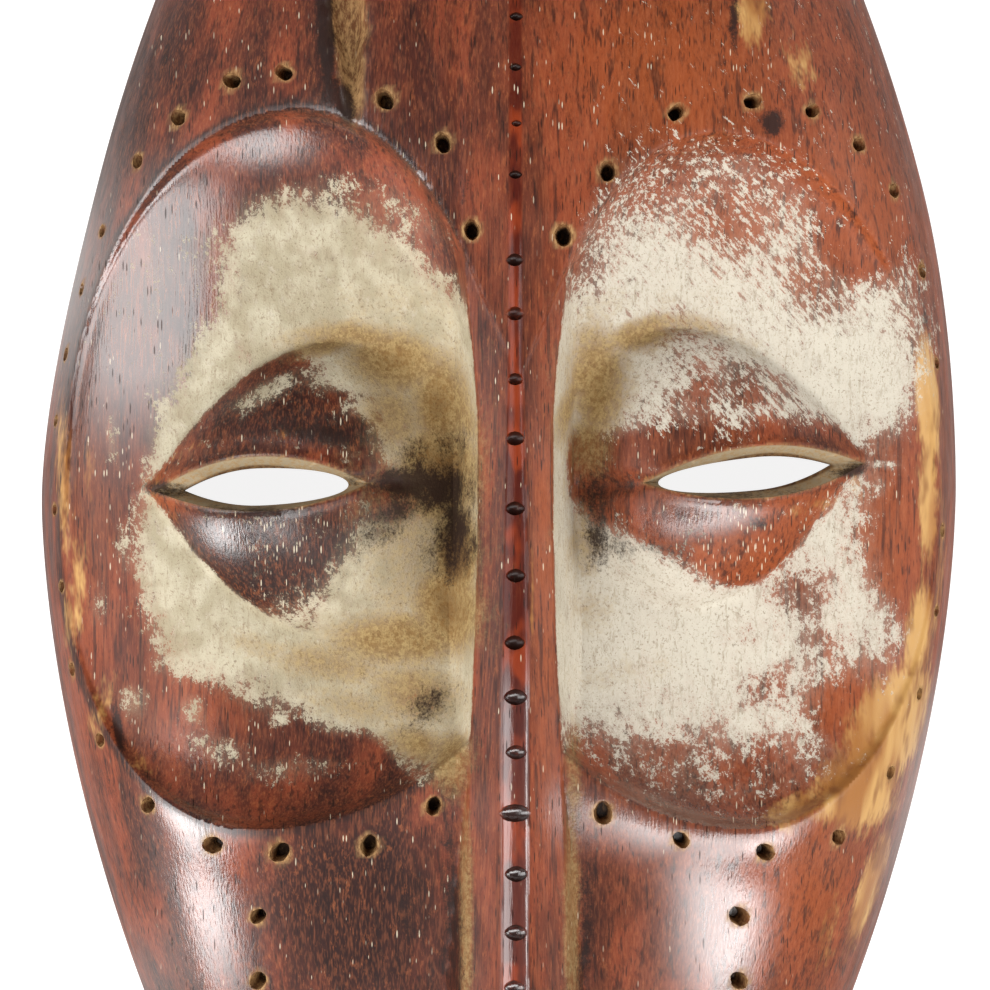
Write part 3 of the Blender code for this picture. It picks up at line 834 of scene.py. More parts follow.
CLAY_LEFT_OVER = (
    (-55, 8, 1.2, 5, 0, 0.44), (-52, -29.5, 2.6, 3, 0, 0.56), (-43.5, -30.5, 2.2, 3, 10, 0.56),
    (-35, -28.8, 2.4, 1.2, 0, 0.62), (-31, -31.5, 2.6, 1.6, 10, 0.52), (-40, -36, 7, 3, -20, 0.42),
    (-53, -8, 2.4, 5, 10, 0.42), (-57, -16, 2, 4, 0, 0.36), (54.5, 4.4, 3.4, 0.8, 0, 0.62),
    (54, 1.4, 1.8, 2.6, 10, 0.5), (-28, 42, 15, 4, 12, 0.4), (-14, 40, 10, 4, -30, 0.42),
    (-40, 34, 7, 7, -30, 0.38), (-50, 30, 7, 14, -15, 0.28), (33, 46, 9, 3.4, 6, 0.42),
    (24, 40, 12, 5, 25, 0.45), (53, 20, 6, 9, 0, 0.5), (30, -42, 16, 2.2, 0, 0.38),
    (-30, -39, 10, 2.6, 4, 0.38), (-48, 16, 3, 8, -10, 0.34),
)


# %% Clay in the sockets and on the eyes
def clay_in_socket(socket, edge, fade, x, y):
    gauge, angle = socket.polar(x, y)
    degrees, values = zip(*edge)
    reach = np.interp(angle, degrees, values, period=360)
    return smoothstep(reach + fade, reach - fade, gauge)


def clay_on_left_eye(x, y):
    """Bare on the outer two thirds; clay creeps back over it from below and from the nose."""
    out, rise = LEFT_EYE.local(x, y)
    from_nose = smoothstep(11 * MM, 22 * MM, rise - 1.35 * out + 2.5 * MM * np.sin(rise / (2.6 * MM)))
    from_below = smoothstep(-5 * MM, -20 * MM, rise + out + 1.6 * MM * np.sin(out / (2.1 * MM)))
    streak = patches(((-33, 14.8, 5.5, 1.5, 28, 0.42), (-23.6, 16.4, 4.4, 1.8, -6, 0.42),
                      (-20, 12.5, 2.4, 1.4, 0, 0.36)), x, y)
    return 0.2 + 0.7 * np.maximum(from_nose, from_below) + streak


def clay_on_right_eye(x, y):
    """Most of it above, in shreds, and a thin film below."""
    out, rise = RIGHT_EYE.local(x, y)
    cover = 0.22 + 0.36 * smoothstep(3 * MM, 8 * MM, rise) + 0.22 * smoothstep(9 * MM, 17 * MM, rise)
    cover = cover + 0.4 * smoothstep(-3 * MM, -12 * MM, out - 0.2 * rise) * smoothstep(3 * MM, 9 * MM, rise)
    cover = cover + 0.66 * smoothstep(-11.5 * MM, -17 * MM, rise + 0.62 * out)
    worn = patches(((29, 15, 3.4, 4.6, 20, 0.22), (35, 15, 3, 3.4, 0, 0.24), (25, 8.5, 9, 2.6, 14, 0.2),
                    (42, 8, 8, 2, -24, 0.16)), x, y)
    return cover - worn


def clay(x, y):
    """How thick the clay lies at each point, before noise breaks it up: 0 is none and 1 is full."""
    left = clay_in_socket(LEFT_SOCKET, LEFT_CLAY_EDGE, LEFT_CLAY_FADE, x, y)
    right = clay_in_socket(RIGHT_SOCKET, RIGHT_CLAY_EDGE, RIGHT_CLAY_FADE, x, y)
    on_eye = smoothstep(1.02, 0.97, LEFT_EYE.gauge(x, y))
    left = left + (clay_on_left_eye(x, y) - left) * on_eye
    on_eye = smoothstep(1.04, 0.92, RIGHT_EYE.gauge(x, y))
    right = right + (clay_on_right_eye(x, y) - right) * on_eye
    cover = np.where(x < NOSE_X, left, RIGHT_CLAY_COVER * right)
    cover = np.maximum(cover - patches(CLAY_GONE, x, y), patches(CLAY_LEFT_OVER, x, y))
    off = np.abs(x - NOSE_X)
    half = nose_half_width(y)
    return cover * smoothstep(half - 0.1 * MM, half + 0.4 * MM, off)


# %% [markdown]
# Dark patches sit in the inner corners of the eyes, along the slits, in the split and beside the nose. They
# are partly soot and black stain, and partly painted shade in the deep corners and valleys beside the nose.
# Ochre wood shows where the patina has rubbed off: down the right rim, on the cheek's edge and at the corners
# of the slits.

# %% Soot, painted shade and rubbed wood
SOOT_AND_SHADE = (
    (-8.6, 1.2, 6.6, 4.6, 0, 1.0), (-13.4, 1.6, 5.4, 2.6, -8, 1.0), (-6.2, -5.4, 3.6, 7.0, 0, 0.9),
    (-14.6, -2.2, 6, 2.6, 16, 0.78), (-7, 7, 3.6, 3.4, 0, 0.6), (-12, 6.6, 3.4, 2.4, 20, 0.5),
    (-9.4, -9, 2.4, 4, 10, 0.5), (-17, -5.4, 5, 2.4, 24, 0.6), (-25, -9, 6, 1.6, 28, 0.5),
    (-36, -9.6, 8, 1.8, -24, 0.5), (-34, -2.4, 13, 0.8, -2, 0.7), (37, 0.2, 12, 0.8, 4, 0.7),
    (-25, 8.8, 9, 1.7, -8, 0.8), (-33, 11.4, 8, 1.2, 16, 0.5), (-47.4, 0.8, 3.4, 1.3, -6, 1.0),
    (-20.4, 2.6, 1.6, 1.4, 0, 0.7), (50.4, 3.6, 3.2, 1.2, 10, 1.1), (13.6, 0.6, 3.4, 3.4, 0, 0.72),
    (18, 1.2, 3.4, 1.8, 0, 0.6), (14.0, -4.4, 2.2, 6.4, 4, 0.82), (19, 1.6, 4, 2, 8, 0.45),
    (17.4, -7, 1.6, 5, 24, 0.5), (23, -7.4, 5, 1.6, -20, 0.45), (30, -6.4, 6, 1.4, -4, 0.4),
    (36.5, -4, 1.7, 1.4, 0, 0.8), (38.8, 52.7, 1.7, 2.0, 0, 1.3), (33.4, 68, 0.7, 5.5, 0, 1.1),
    (-54.2, -33, 0.7, 4.4, 8, 1.1), (61, 25, 0.7, 3.2, 10, 0.8), (-9.6, -29.5, 4.6, 3.0, 25, 0.72),
    (-12.5, -33, 4, 1.6, 40, 0.4), (-4.6, 44, 0.8, 6, -12, 0.5), (10, 55, 1, 7, 0, 0.4),
    (-6.5, -60, 1.6, 17, 2, 0.8), (-12, -58, 4, 12, 0, 0.4), (12.4, -62, 1.4, 14, -2, 0.8),
    (16, -55, 2, 10, -4, 0.4), (-56, -41, 1.2, 4, 20, 0.5), (-24.6, 67, 1.2, 13, 3, 1.5),
    (-21.8, 55.4, 1.5, 3.0, 12, 1.3), (-43, 44, 1, 6, -10, 0.3), (52, 57, 1, 6, 15, 0.4),
    (-35, 52, 8, 1.5, 20, 0.3),
)
RUBBED = (
    (36, 68, 3.0, 4.5, 0, 0.8), (43, 61, 3, 5, 15, 0.6), (30, 50, 7, 3, 20, 0.28),
    (61.2, 13.6, 1.8, 10, 4, 1.25), (61.2, 0, 1.5, 11, 0, 1.0), (56.0, -33, 5.6, 10, -32, 1.35),
    (51, -42, 6, 6, -45, 1.35), (42, -44.5, 6, 2.2, 20, 0.85), (59.8, -20, 2.0, 8, -8, 1.15),
    (53, -56, 1.8, 9, -18, 1.1), (47, -62, 2, 8, -10, 0.5), (-62.0, 4, 1.6, 16, 3, 0.66),
    (-60.2, -14, 1.8, 10, -6, 0.66), (-56.6, -30, 2.0, 6, -18, 0.56), (-51, -38, 3, 1.4, -40, 0.5),
    (-58.5, 4, 1.2, 7, 0, 0.5), (-48.9, 1.2, 1.4, 3.2, 0, 0.6), (-44, 6.2, 4.8, 1.0, 24, 0.4),
    (-46, -3, 1.0, 3.4, 40, 0.4), (51, 1.4, 1.4, 3.0, 20, 0.6), (45, -1.6, 7, 1.3, 14, 0.5),
    (-19.0, 3.4, 2.2, 1.0, -20, 0.4), (-60, 44, 1.4, 8, -28, 0.4), (4.8, -14, 0.4, 8, 0, 0.7),
    (-30, 8.8, 4, 1.4, 14, 0.4), (-19, 16, 3, 3, 0, 0.3),
)

# %% [markdown]
# Brown patches lie under the brows and along the top of the eyes, at the foot of the nose and in the lower
# half of the left socket. They are partly dirt and partly painted shade: the bands along the top of the eyes
# and in the valleys beside the nose stand for shade.
# Flecks are pores that clay has filled. They are thickest round the eyes.

# %% Dirt, painted shade and filled pores
DIRT_AND_SHADE = (
    (-11, 0, 11, 30, 0, 0.46), (11, 6, 5, 22, 0, 0.34), (-14, 27, 16, 5, 4, 0.26), (20, 27, 14, 3, 0, 0.24),
    (-24, 21.6, 8, 1.8, 16, 0.75), (-14.6, 19, 7.5, 5.0, -10, 0.95), (-8, 13, 4.6, 8, 10, 1.0),
    (-15, 11, 4.6, 6, 30, 0.7), (-8, 3, 6, 8, 0, 1.2), (-7, -16, 5.4, 7, 10, 1.1), (-6, -8, 3.2, 8, 0, 1.3),
    (-14, -20.5, 12, 4.4, 2, 0.85), (-24, -24, 10, 3.6, -8, 0.6), (-33, -22, 8, 2.4, -20, 0.4),
    (-12, -28, 8, 5, -10, 0.7), (-20, -30, 9, 3, -14, 0.5), (14, 16, 5, 9, 0, 0.95),
    (20, 22.6, 9, 2.6, 14, 0.8), (28, 24.4, 8, 1.8, -6, 0.45), (12.6, 7, 3.4, 5, 0, 0.85),
    (12, -6, 3, 7, 0, 0.55), (13, -16, 5, 5, 0, 0.3), (17, -25, 8, 3, 10, 0.3), (-6.6, -38, 3.4, 5, 0, 0.9),
    (-4.6, -60, 1.1, 18, 0, 0.9), (10.6, -40, 1.4, 8, 0, 0.7), (10.4, -60, 1.3, 18, 0, 0.95),
    (-11.5, -35.5, 6, 3, -20, 0.75),
)
FLECKS = (
    (-33, 9, 17, 7, 6, 0.8), (-26, -9, 15, 7, -4, 1.2), (-56, 0, 4, 13, 0, 0.7), (-52, -20, 5, 12, 0, 0.4),
    (36, -8, 14, 8, 6, 1.9), (36, 8, 14, 4, 6, 1.5), (-40, -38, 14, 8, 0, 0.45), (-20, -44, 16, 8, 0, 0.45),
    (-22, -60, 14, 12, 0, 0.35), (24, 60, 26, 9, 0, 0.45), (-38, 62, 14, 10, 0, 0.3),
    (4, 0, 9, 50, 0, 0.25), (24, -44, 18, 5, 0, 0.4), (52, 0, 5, 12, 0, 0.4),
)

# %% [markdown]
# The polish isn't even either. The brow of the left socket, both cheeks and the lower lids are shiny from
# the hand, and the hollows of the cheeks and the forehead's side are dull. The wood is nearly black on the
# left eye and the left cheek, and more orange on the right.

# %% Polish and tone
MATT = (
    (-20, -58, 13, 17, 0, 1.0), (15, -60, 5, 16, 0, 0.9), (-30, 62, 12, 8, 0, 0.5),
    (-20, -38, 22, 5, 0, 0.6), (52, 0, 6, 16, 0, 0.5), (40, 60, 16, 12, 0, 0.4),
)
POLISHED = (
    (-51, 27, 13, 17, -10, 1.3), (-46, 40, 9, 8, 40, 1.1), (-33, 50, 11, 3.6, 18, 0.8),
    (-22, 53, 8, 2.4, -6, 0.75), (-11, 47, 5, 2.2, -40, 0.8), (-42, -54, 6.5, 17, 10, 1.15),
    (-44, -66, 6, 10, 6, 1.0), (-36, -5.4, 9, 3, 6, 1.0), (-33, 6.8, 12, 1.2, 4, 0.8),
    (29, -3, 7, 2.2, 6, 1.0), (28, -46, 17, 4.4, -4, 1.3), (38, -49, 8, 5, -10, 1.0),
    (32, -60, 6.5, 16, 4, 1.1), (60, -40, 3, 20, -20, 0.5),
)
DARKER = (
    (-47, 26, 10, 20, -14, 0.7), (-30, 44, 14, 6, 10, 0.3), (-34, 7, 17, 5, 0, 0.5),
    (-31, -8, 17, 8, -6, 1.5), (-33, 12, 13, 6, 24, 1.0), (-24, 9, 9, 3, -8, 1.2), (-38, 6, 9, 3, 14, 0.8),
    (-22, -58, 14, 17, 0, 1.15), (-44, -62, 6, 20, 10, 0.5), (30, -3, 9, 4, 8, 0.5),
    (-24, 63, 5, 9, 4, 0.6), (14, -62, 3, 14, 0, 0.6), (-52, 62, 5, 12, -20, 0.5),
    (-6, 60, 2.0, 14, 0, 0.3), (-28, 58, 10, 5, 10, 0.25), (22, 8, 8, 4, 0, 0.35), (46, 7, 5, 2, -20, 0.6),
    (54, -2, 3, 5, 0, 0.3), (-18, -40, 16, 3, 0, 0.3), (22, -60, 8, 14, 0, 0.4), (-54, 54, 6, 24, -24, 0.9),
    (-60, 20, 3, 24, -8, 0.5), (-24, -44, 18, 4, 0, 0.5),
)
WARMER = (
    (36, 36, 14, 9, -20, 1.0), (54, -6, 6, 12, 0, 0.8), (26, 60, 16, 12, 0, 0.7), (50, 42, 7, 14, 25, 0.8),
    (-45, -30, 14, 8, 20, 0.35), (44, -54, 6, 12, -10, 0.8), (36, -8, 12, 5, 0, 0.6),
    (50, -28, 8, 8, 0, 0.7), (6.6, -14, 1.7, 26, 0, 1.1), (-47.5, 1, 3.4, 5, 0, 1.3),
    (45, -2, 9, 2.4, 14, 1.4), (-41, 7, 8, 1.6, 20, 1.2), (-58, -6, 4, 20, 0, 0.4), (-44, 4, 6, 2, 20, 0.5),
)


# %% [markdown]
# Some of the finish follows from the form: bare fibres round each drilled hole, painted shade deep in it that
# grows darker with depth, raw wood in the slits and the split, and the plain hollow behind. These are
# measured on the finished mesh. A point is in a cut where it lies below the height that the face had there
# before.

# %% Which points are bare, cut or behind
def near_holes(points):
    """How bare the wood is round each hole, and how deep in a hole a point lies."""
    bare = np.zeros(len(points))
    deep = np.zeros(len(points))
    for surface, normal, radius in holes:
        away = points - np.array(surface)
        near = np.flatnonzero((np.abs(away) < 4 * radius).all(axis=1))
        depth = away[near] @ np.array(normal)
        across = np.linalg.norm(away[near] - np.outer(depth, np.array(normal)), axis=1)
        bare[near] = np.maximum(bare[near], smoothstep(1.5, 1.1, across / radius))
        inside = (across < 1.6 * radius) & (depth < 0.4 * MM)
        deep[near] = np.maximum(deep[near], np.where(inside, smoothstep(-0.3 * MM, -1.6 * MM, depth), 0))
    return bare, deep


def hollow_height(x, y):
    outer_y = y / INNER_LENGTH
    across = np.abs(x - midline(outer_y)) / np.maximum(half_width(outer_y) * INNER_WIDTH, SMALL)
    return HOLLOW_HEIGHT * profile(outer_y) * arch(across)


points = np.empty(len(cut_mesh.vertices) * 3)
cut_mesh.vertices.foreach_get("co", points)
points = points.reshape(-1, 3)
x, y, z = points.T
bare, deep = near_holes(points)
below = face_height(x, y) - z
behind = (z < hollow_height(x, y) + 0.6 * MM) & (np.abs(y) < 0.5 * LENGTH * INNER_LENGTH)
behind |= z < RIM_WEAR + 0.1 * MM
lid_gauge = np.minimum.reduce([lids.gauge(x, y) for lids in (LEFT_LIDS, RIGHT_LIDS, MOUTH_LIPS)])
in_slit = (lid_gauge < 1.04) & ~behind
bead_half = bead_half_width(y)
crest = smoothstep(bead_half + 0.4 * MM, bead_half - 0.2 * MM, np.abs(x - NOSE_X)) * (y > NOSE_TIP_Y)
in_nick = np.zeros(len(x))
for nick_x, nick_y, half_x, half_y in nicks:
    away = np.hypot((x - nick_x) / half_x, (y - nick_y) / half_y)
    in_nick = np.maximum(in_nick, np.where(away < 1.15, smoothstep(0.05 * MM, 0.35 * MM, below), 0))
gouge = smoothstep(1.0, 0.8, gouge_gauge(x, y))
print(int(behind.sum()), "points behind,", int(in_slit.sum()), "in the slits")

# %% [markdown]
# Now each layer becomes one number for each point, and is stored as an attribute that the shader reads by
# name. Patches know only x and y, so clay and rubbed wood would run down the steep side walls as bars. Those
# two fade out there.

# %% Write the layers
right_edge = np.abs(RIGHT_SOCKET.polar(x, y)[0] - 1.02)
left_edge = np.abs(LEFT_SOCKET.polar(x, y)[0] - 1.012)
edge_wear = smoothstep(0.05, 0.0, right_edge) * (x > 40 * MM) * smoothstep(30 * MM, -20 * MM, y)
# painted shade: a thin dark line just outside the left socket's edge stands for the shadow of the step
edge_shadow_line = smoothstep(0.028, 0.0, left_edge) * (x < -6 * MM)
# painted shade: a brown band along the top of each eye, where it meets the socket, stands for the shade in
# that crease
left_crease_shade = smoothstep(0.2, 0.0, np.abs(LEFT_EYE.gauge(x, y) - 1.06)) * smoothstep(-40 * MM, -20 * MM, x)
right_crease_shade = smoothstep(0.18, 0.0, np.abs(RIGHT_EYE.gauge(x, y) - 1.05)) * smoothstep(46 * MM, 20 * MM, x)
eye_crease_shade = 0.75 * np.maximum(left_crease_shade, right_crease_shade) * smoothstep(1 * MM, 12 * MM, y)
on_face = smoothstep(12 * MM, 26 * MM, z)
upper_lid = 0.8 * smoothstep(1.05, 0.9, RIGHT_EYE.gauge(x, y)) * smoothstep(4 * MM, 9 * MM, y)
finish = {
    "clay": np.where(behind, 0.0, clay(x, y)) * (1 - bare) * on_face,
    "lid": np.where(behind, 2.0, np.clip(lid_gauge, 0, 2)),
    # painted shade: points deep in a drilled hole, a nick or a slit are painted darker the deeper they lie;
    # the patches add soot, stain and painted shade
    "soot_and_shade": np.maximum.reduce([patches(SOOT_AND_SHADE, x, y), 0.8 * deep, in_nick * 0.85,
                               np.where(in_slit, smoothstep(3.0 * MM, 6.0 * MM, below), 0)]),
    "rubbed": np.maximum.reduce([patches(RUBBED, x, y) * on_face, 0.6 * edge_wear,
                                 0.3 * smoothstep(1.25, 1.02, lid_gauge)]),
    "bare": np.maximum.reduce([0.8 * bare, 0.75 * gouge, np.where(in_slit, 0.4, 0)]),
    "dirt_and_shade": np.where(behind, 0.0, np.maximum(patches(DIRT_AND_SHADE, x, y), eye_crease_shade)),
    "polish": np.clip(patches(POLISHED, x, y) + 0.8 * crest * smoothstep(-20 * MM, -34 * MM, y), 0, 1),
    "matt": patches(MATT, x, y),
    # darker also carries the painted shadow line along the left socket's edge
    "darker": np.maximum(patches(DARKER, x, y), edge_shadow_line),
    "warmer": np.clip(0.35 * smoothstep(-10 * MM, 25 * MM, x) + patches(WARMER, x, y), 0, 1),
    "crest": crest,
    "flecks": patches(FLECKS, x, y),
    "white": smoothstep(2 * MM, 14 * MM, x),
    "shreds": smoothstep(6 * MM, 20 * MM, x) * np.maximum(smoothstep(16 * MM, 27 * MM, y), upper_lid),
    "behind": behind.astype(float),
}
for name, values in finish.items():
    column = cut_mesh.attributes.new(name, "FLOAT", "POINT")
    column.data.foreach_set("value", np.nan_to_num(values).astype(np.float32))
print("finish layers:", ", ".join(finish))

# %% [markdown]
# One small function adds a node to a material, sets it and links it. Colours are written as the eye reads
# them, in sRGB hex, and turned to the linear values that the renderer works with.

# %% Colours and nodes
def linear(hex_colour):
    parts = [int(hex_colour[start:start + 2], 16) / 255 for start in (1, 3, 5)]
    return (*[part / 12.92 if part <= 0.04045 else ((part + 0.055) / 1.055) ** 2.4 for part in parts], 1)


def add(tree, kind, sockets=None, **settings):
    """A node; sockets maps an input to its value, or to the output that feeds it."""
    node = tree.nodes.new(kind)
    for name, value in settings.items():
        setattr(node, name, value)
    for key, value in (sockets or {}).items():
        if isinstance(value, bpy.types.NodeSocket):
            tree.links.new(value, node.inputs[key])
        else:
            node.inputs[key].default_value = value
    return node


# %% [markdown]
# The wood is a dense African hardwood under a handled, oiled patina. The patina is smooth and catches the
# light, the clay is matt and slightly raised, and bare wood is dull. So each layer changes the colour, the
# roughness and the bump together. Every pattern is drawn on the object's own coordinates in millimetres, so
# that a size in the code is a size on the wood.

# %% Patterns for the wood
MIX_A, MIX_B, MIX_COLOUR = 6, 7, 2      # the colour sockets of a Mix node
wood = bpy.data.materials.new("patinated_hardwood_with_clay")
wood.use_nodes = True
tree = wood.node_tree
shader = tree.nodes["Principled BSDF"]
place = add(tree, "ShaderNodeTexCoord").outputs["Object"]
in_mm = add(tree, "ShaderNodeVectorMath", {0: place, 1: (1000, 1000, 1000)}, operation="MULTIPLY").outputs[0]


def layer(name):
    return add(tree, "ShaderNodeAttribute", attribute_name=name).outputs["Fac"]


def pattern(size, detail=3.0, roughness=0.55, turn=0):
    """Noise whose lumps measure size, in millimetres across, along and into the grain."""
    turned = add(tree, "ShaderNodeVectorRotate", {"Vector": in_mm, "Angle": math.radians(turn)},
                 rotation_type="Z_AXIS").outputs[0]
    scaled = add(tree, "ShaderNodeVectorMath", {0: turned, 1: size}, operation="DIVIDE").outputs[0]
    noise = add(tree, "ShaderNodeTexNoise", {"Vector": scaled, "Scale": 1.0, "Detail": detail,
                                             "Roughness": roughness})
    return noise.outputs["Fac"]


def ramp(value, start, end, low=0.0, high=1.0):
    node = add(tree, "ShaderNodeMapRange", {"Value": value, "From Min": start, "From Max": end, "To Min": low,
                                            "To Max": high}, interpolation_type="SMOOTHSTEP")
    return node.outputs["Result"]


def maths(operation, a, b=0.0, c=0.0):
    return add(tree, "ShaderNodeMath", {0: a, 1: b, 2: c}, operation=operation).outputs[0]


def mix(factor, a, b):
    return add(tree, "ShaderNodeMix", {0: factor, MIX_A: a, MIX_B: b}, data_type="RGBA").outputs[MIX_COLOUR]


def blend(factor, a, b):
    return add(tree, "ShaderNodeMix", {0: factor, 2: a, 3: b}, data_type="FLOAT").outputs[0]


def broken(level, noise, amount):
    """A level whose edge is broken up by noise."""
    return maths("MULTIPLY_ADD", maths("SUBTRACT", noise, 0.5), amount, level)


# %% [markdown]
# Sizes first. The broad tone changes every few centimetres along the grain, the blotches every centimetre,
# the mottle every few millimetres, and the fine lines are a third of a millimetre wide. Clay has its own:
# scrub marks, grains of grit, and strokes that lie slanting across the brow, as a cloth would wipe it.

# %% Sizes of the patterns
tone = pattern((7, 34, 7), 2, 0.6)
blotch = pattern((3.5, 9, 3.5), 2, 0.65)
fine = pattern((0.3, 5, 0.3), 1)
mottle = pattern((0.7, 3.0, 0.7), 3, 0.85)
streaks = ramp(pattern((0.9, 16, 0.9), 2, 0.6), 0.53, 0.68)
rub_noise = pattern((1.2, 4, 1.2), 2, 0.8)
grit = pattern((0.42, 0.5, 0.42), 2, 0.85)
scrub = pattern((1.5, 2.1, 1.5), 4, 0.8)
coarse = pattern((5, 6, 5), 2, 0.6)
strokes = pattern((0.6, 3.0, 0.6), 3, 0.78, turn=-40)
lumps = pattern((0.9, 1.0, 0.9), 2, 0.85)
print(len(tree.nodes), "nodes for the patterns")

# %% [markdown]
# The patina is painted from the bottom up, as the real one grew: red-brown oil colour, warmer where light
# wood shines through, nearly black where smoke and hands have been and in a thin line of painted shadow along
# the left socket's edge, and thin dark lines along the grain.
# The crest of the nose is redder than the rest.

# %% Patina
patina = mix(ramp(tone, 0.38, 0.64), linear("#3f1b12"), linear("#75351f"))
patina = mix(maths("MULTIPLY", layer("warmer"), 0.8), patina, linear("#8a421d"))
dark_level = broken(layer("darker"), blotch, 1.1)
patina = mix(ramp(dark_level, 0.15, 0.95, 0, 0.92), patina, linear("#220e0b"))
patina = mix(ramp(mottle, 0.5, 0.68, 0, 0.5), patina, linear("#260f0a"))
patina = mix(ramp(mottle, 0.46, 0.3, 0, 0.35), patina, linear("#9a5630"))
patina = mix(maths("MULTIPLY", streaks, 0.65), patina, linear("#1e0d0a"))
patina = mix(ramp(fine, 0.42, 0.75, 0, 0.22), patina, linear("#a05c3a"))
crest_colour = mix(ramp(blotch, 0.45, 0.62), linear("#430f07"), linear("#7c2c0e"))
patina = mix(maths("MULTIPLY", layer("crest"), 0.8), patina, crest_colour)

# %% [markdown]
# The vessels of the wood show as short dashes along the grain, about a quarter of a millimetre wide and one
# to two long. Where clay has filled them they are pale, and elsewhere they are empty and dark. Each one is a
# spot in a cell of a Voronoi pattern that is stretched along the grain. It knows only x and y, so the
# dashes would grow long on the steep side walls, and they fade out there.

# %% Pores
PORE_FADE = (16, 30)        # from no pores to all of them, in millimetres above the table
height_in_mm = add(tree, "ShaderNodeSeparateXYZ", {0: in_mm}).outputs["Z"]
pores_show = ramp(height_in_mm, *PORE_FADE)


def dashes(size, share):
    """Short dashes along the grain, one in each cell of that size; share is how many cells have one."""
    cells = add(tree, "ShaderNodeVectorMath", {0: in_mm, 1: size}, operation="DIVIDE").outputs[0]
    spots = add(tree, "ShaderNodeTexVoronoi", {"Vector": cells, "Scale": 1.0, "Randomness": 1.0},
                feature="F1", voronoi_dimensions="2D")
    drawn = add(tree, "ShaderNodeSeparateColor", {0: spots.outputs["Color"]})
    present = ramp(maths("SUBTRACT", share, drawn.outputs[0]), -0.05, 0.05)
    thinner = maths("MULTIPLY_ADD", drawn.outputs[1], 0.16, spots.outputs["Distance"])
    return maths("MULTIPLY", maths("MULTIPLY", ramp(thinner, 0.27, 0.15), present), pores_show)


chosen = ramp(pattern((5, 11, 5), 1), 0.44, 0.6)
filled_share = maths("MULTIPLY_ADD", layer("flecks"), maths("MULTIPLY_ADD", chosen, 0.4, 0.08),
                     maths("MULTIPLY", chosen, 0.025))
filled = dashes((0.45, 2.6, 1), filled_share)
empty = dashes((0.5, 4.0, 1), maths("MULTIPLY_ADD", chosen, -0.25, 0.4))
patina = mix(maths("MULTIPLY", filled, 0.72), patina, linear("#cdbfa5"))
patina = mix(maths("MULTIPLY", empty, 0.75), patina, linear("#160a07"))
print(len(tree.nodes), "nodes with the patina and the pores")

# %% [markdown]
# Where the patina has rubbed off, the wood is ochre, with brown left in the low places. The edge of a rubbed
# spot is drawn out along the grain, because fibres tear off along it.

# %% Rubbed wood
rubbed = ramp(broken(layer("rubbed"), rub_noise, 1.1), 0.3, 0.85)
rubbed_colour = mix(ramp(tone, 0.4, 0.55), linear("#93602f"), linear("#b68c53"))
rubbed_colour = mix(ramp(blotch, 0.5, 0.7, 0, 0.7), rubbed_colour, linear("#70401f"))
surface_colour = mix(rubbed, patina, rubbed_colour)

# %% [markdown]
# The clay is kaolin, rubbed on wet with a finger. Its level comes from the mesh, and three sizes of noise
# break its edge into crumbs and islands. A thin haze of it stays on the wood round about. On the right it is
# whiter and more torn; on the left it has yellowed.

# %% White clay
stroke_depth = maths("MULTIPLY_ADD", layer("shreds"), 1.7, 0.4)
clay_level = broken(broken(broken(layer("clay"), scrub, 1.35), coarse, 0.6), grit, 0.8)
clay_level = broken(clay_level, strokes, stroke_depth)
clay_mask = maths("MULTIPLY", ramp(clay_level, 0.4, 0.56), ramp(clay_level, 0.45, 0.95, 0.8, 1.0))
haze = ramp(broken(layer("clay"), scrub, 0.5), 0.15, 0.8, 0, 0.34)
clay_cover = maths("MAXIMUM", clay_mask, haze)
clay_colour = mix(ramp(coarse, 0.35, 0.65), linear("#9d937a"), linear("#b4ab94"))
clay_colour = mix(maths("MULTIPLY", layer("white"), 0.9), clay_colour, linear("#c1baab"))
clay_colour = mix(ramp(mottle, 0.52, 0.68, 0, 0.45), clay_colour, linear("#86745c"))
clay_colour = mix(ramp(scrub, 0.45, 0.3, 0, 0.4), clay_colour, linear("#c8c0ae"))
clay_colour = mix(ramp(grit, 0.54, 0.7, 0, 0.55), clay_colour, linear("#6f5842"))

# %% [markdown]
# Brown dirt and painted shade lie on the clay as a stain and on the wood as a crust. The colour is lighter
# where the layer is thin and darker where it is thick, at the foot of the nose; that darkest part is painted
# shade.

# %% Dirt and painted shade
dirt_and_shade_level = broken(broken(layer("dirt_and_shade"), lumps, 0.5), coarse, 0.6)
dirt_and_shade_colour = mix(ramp(lumps, 0.34, 0.66), linear("#7d5f36"), linear("#9c8458"))
dirt_and_shade_colour = mix(ramp(grit, 0.5, 0.66, 0, 0.4), dirt_and_shade_colour, linear("#583e20"))
dirt_and_shade_colour = mix(ramp(dirt_and_shade_level, 0.85, 1.25, 0, 0.75), dirt_and_shade_colour, linear("#5b3c1a"))
dirt_and_shade = ramp(dirt_and_shade_level, 0.1, 0.95)
clay_colour = mix(dirt_and_shade, clay_colour, dirt_and_shade_colour)
surface_colour = mix(maths("MULTIPLY", clay_cover, 0.97), surface_colour, clay_colour)
surface_colour = mix(maths("MULTIPLY", dirt_and_shade, 0.65), surface_colour, dirt_and_shade_colour)

# %% [markdown]
# What has been cut open shows other colours. The slits' sloping walls are dusty and pale; where the cut goes
# straight down they are painted dark, as painted shade. The holes and the split show raw fibres, soot and
# painted shade lie over all of it, darker deeper in each cut, and the back is plain brown wood.

# %% Cuts, soot, painted shade and back
wall = ramp(layer("lid"), 1.015, 0.97)
wall_colour = mix(ramp(mottle, 0.42, 0.62), linear("#b3a98e"), linear("#86765a"))
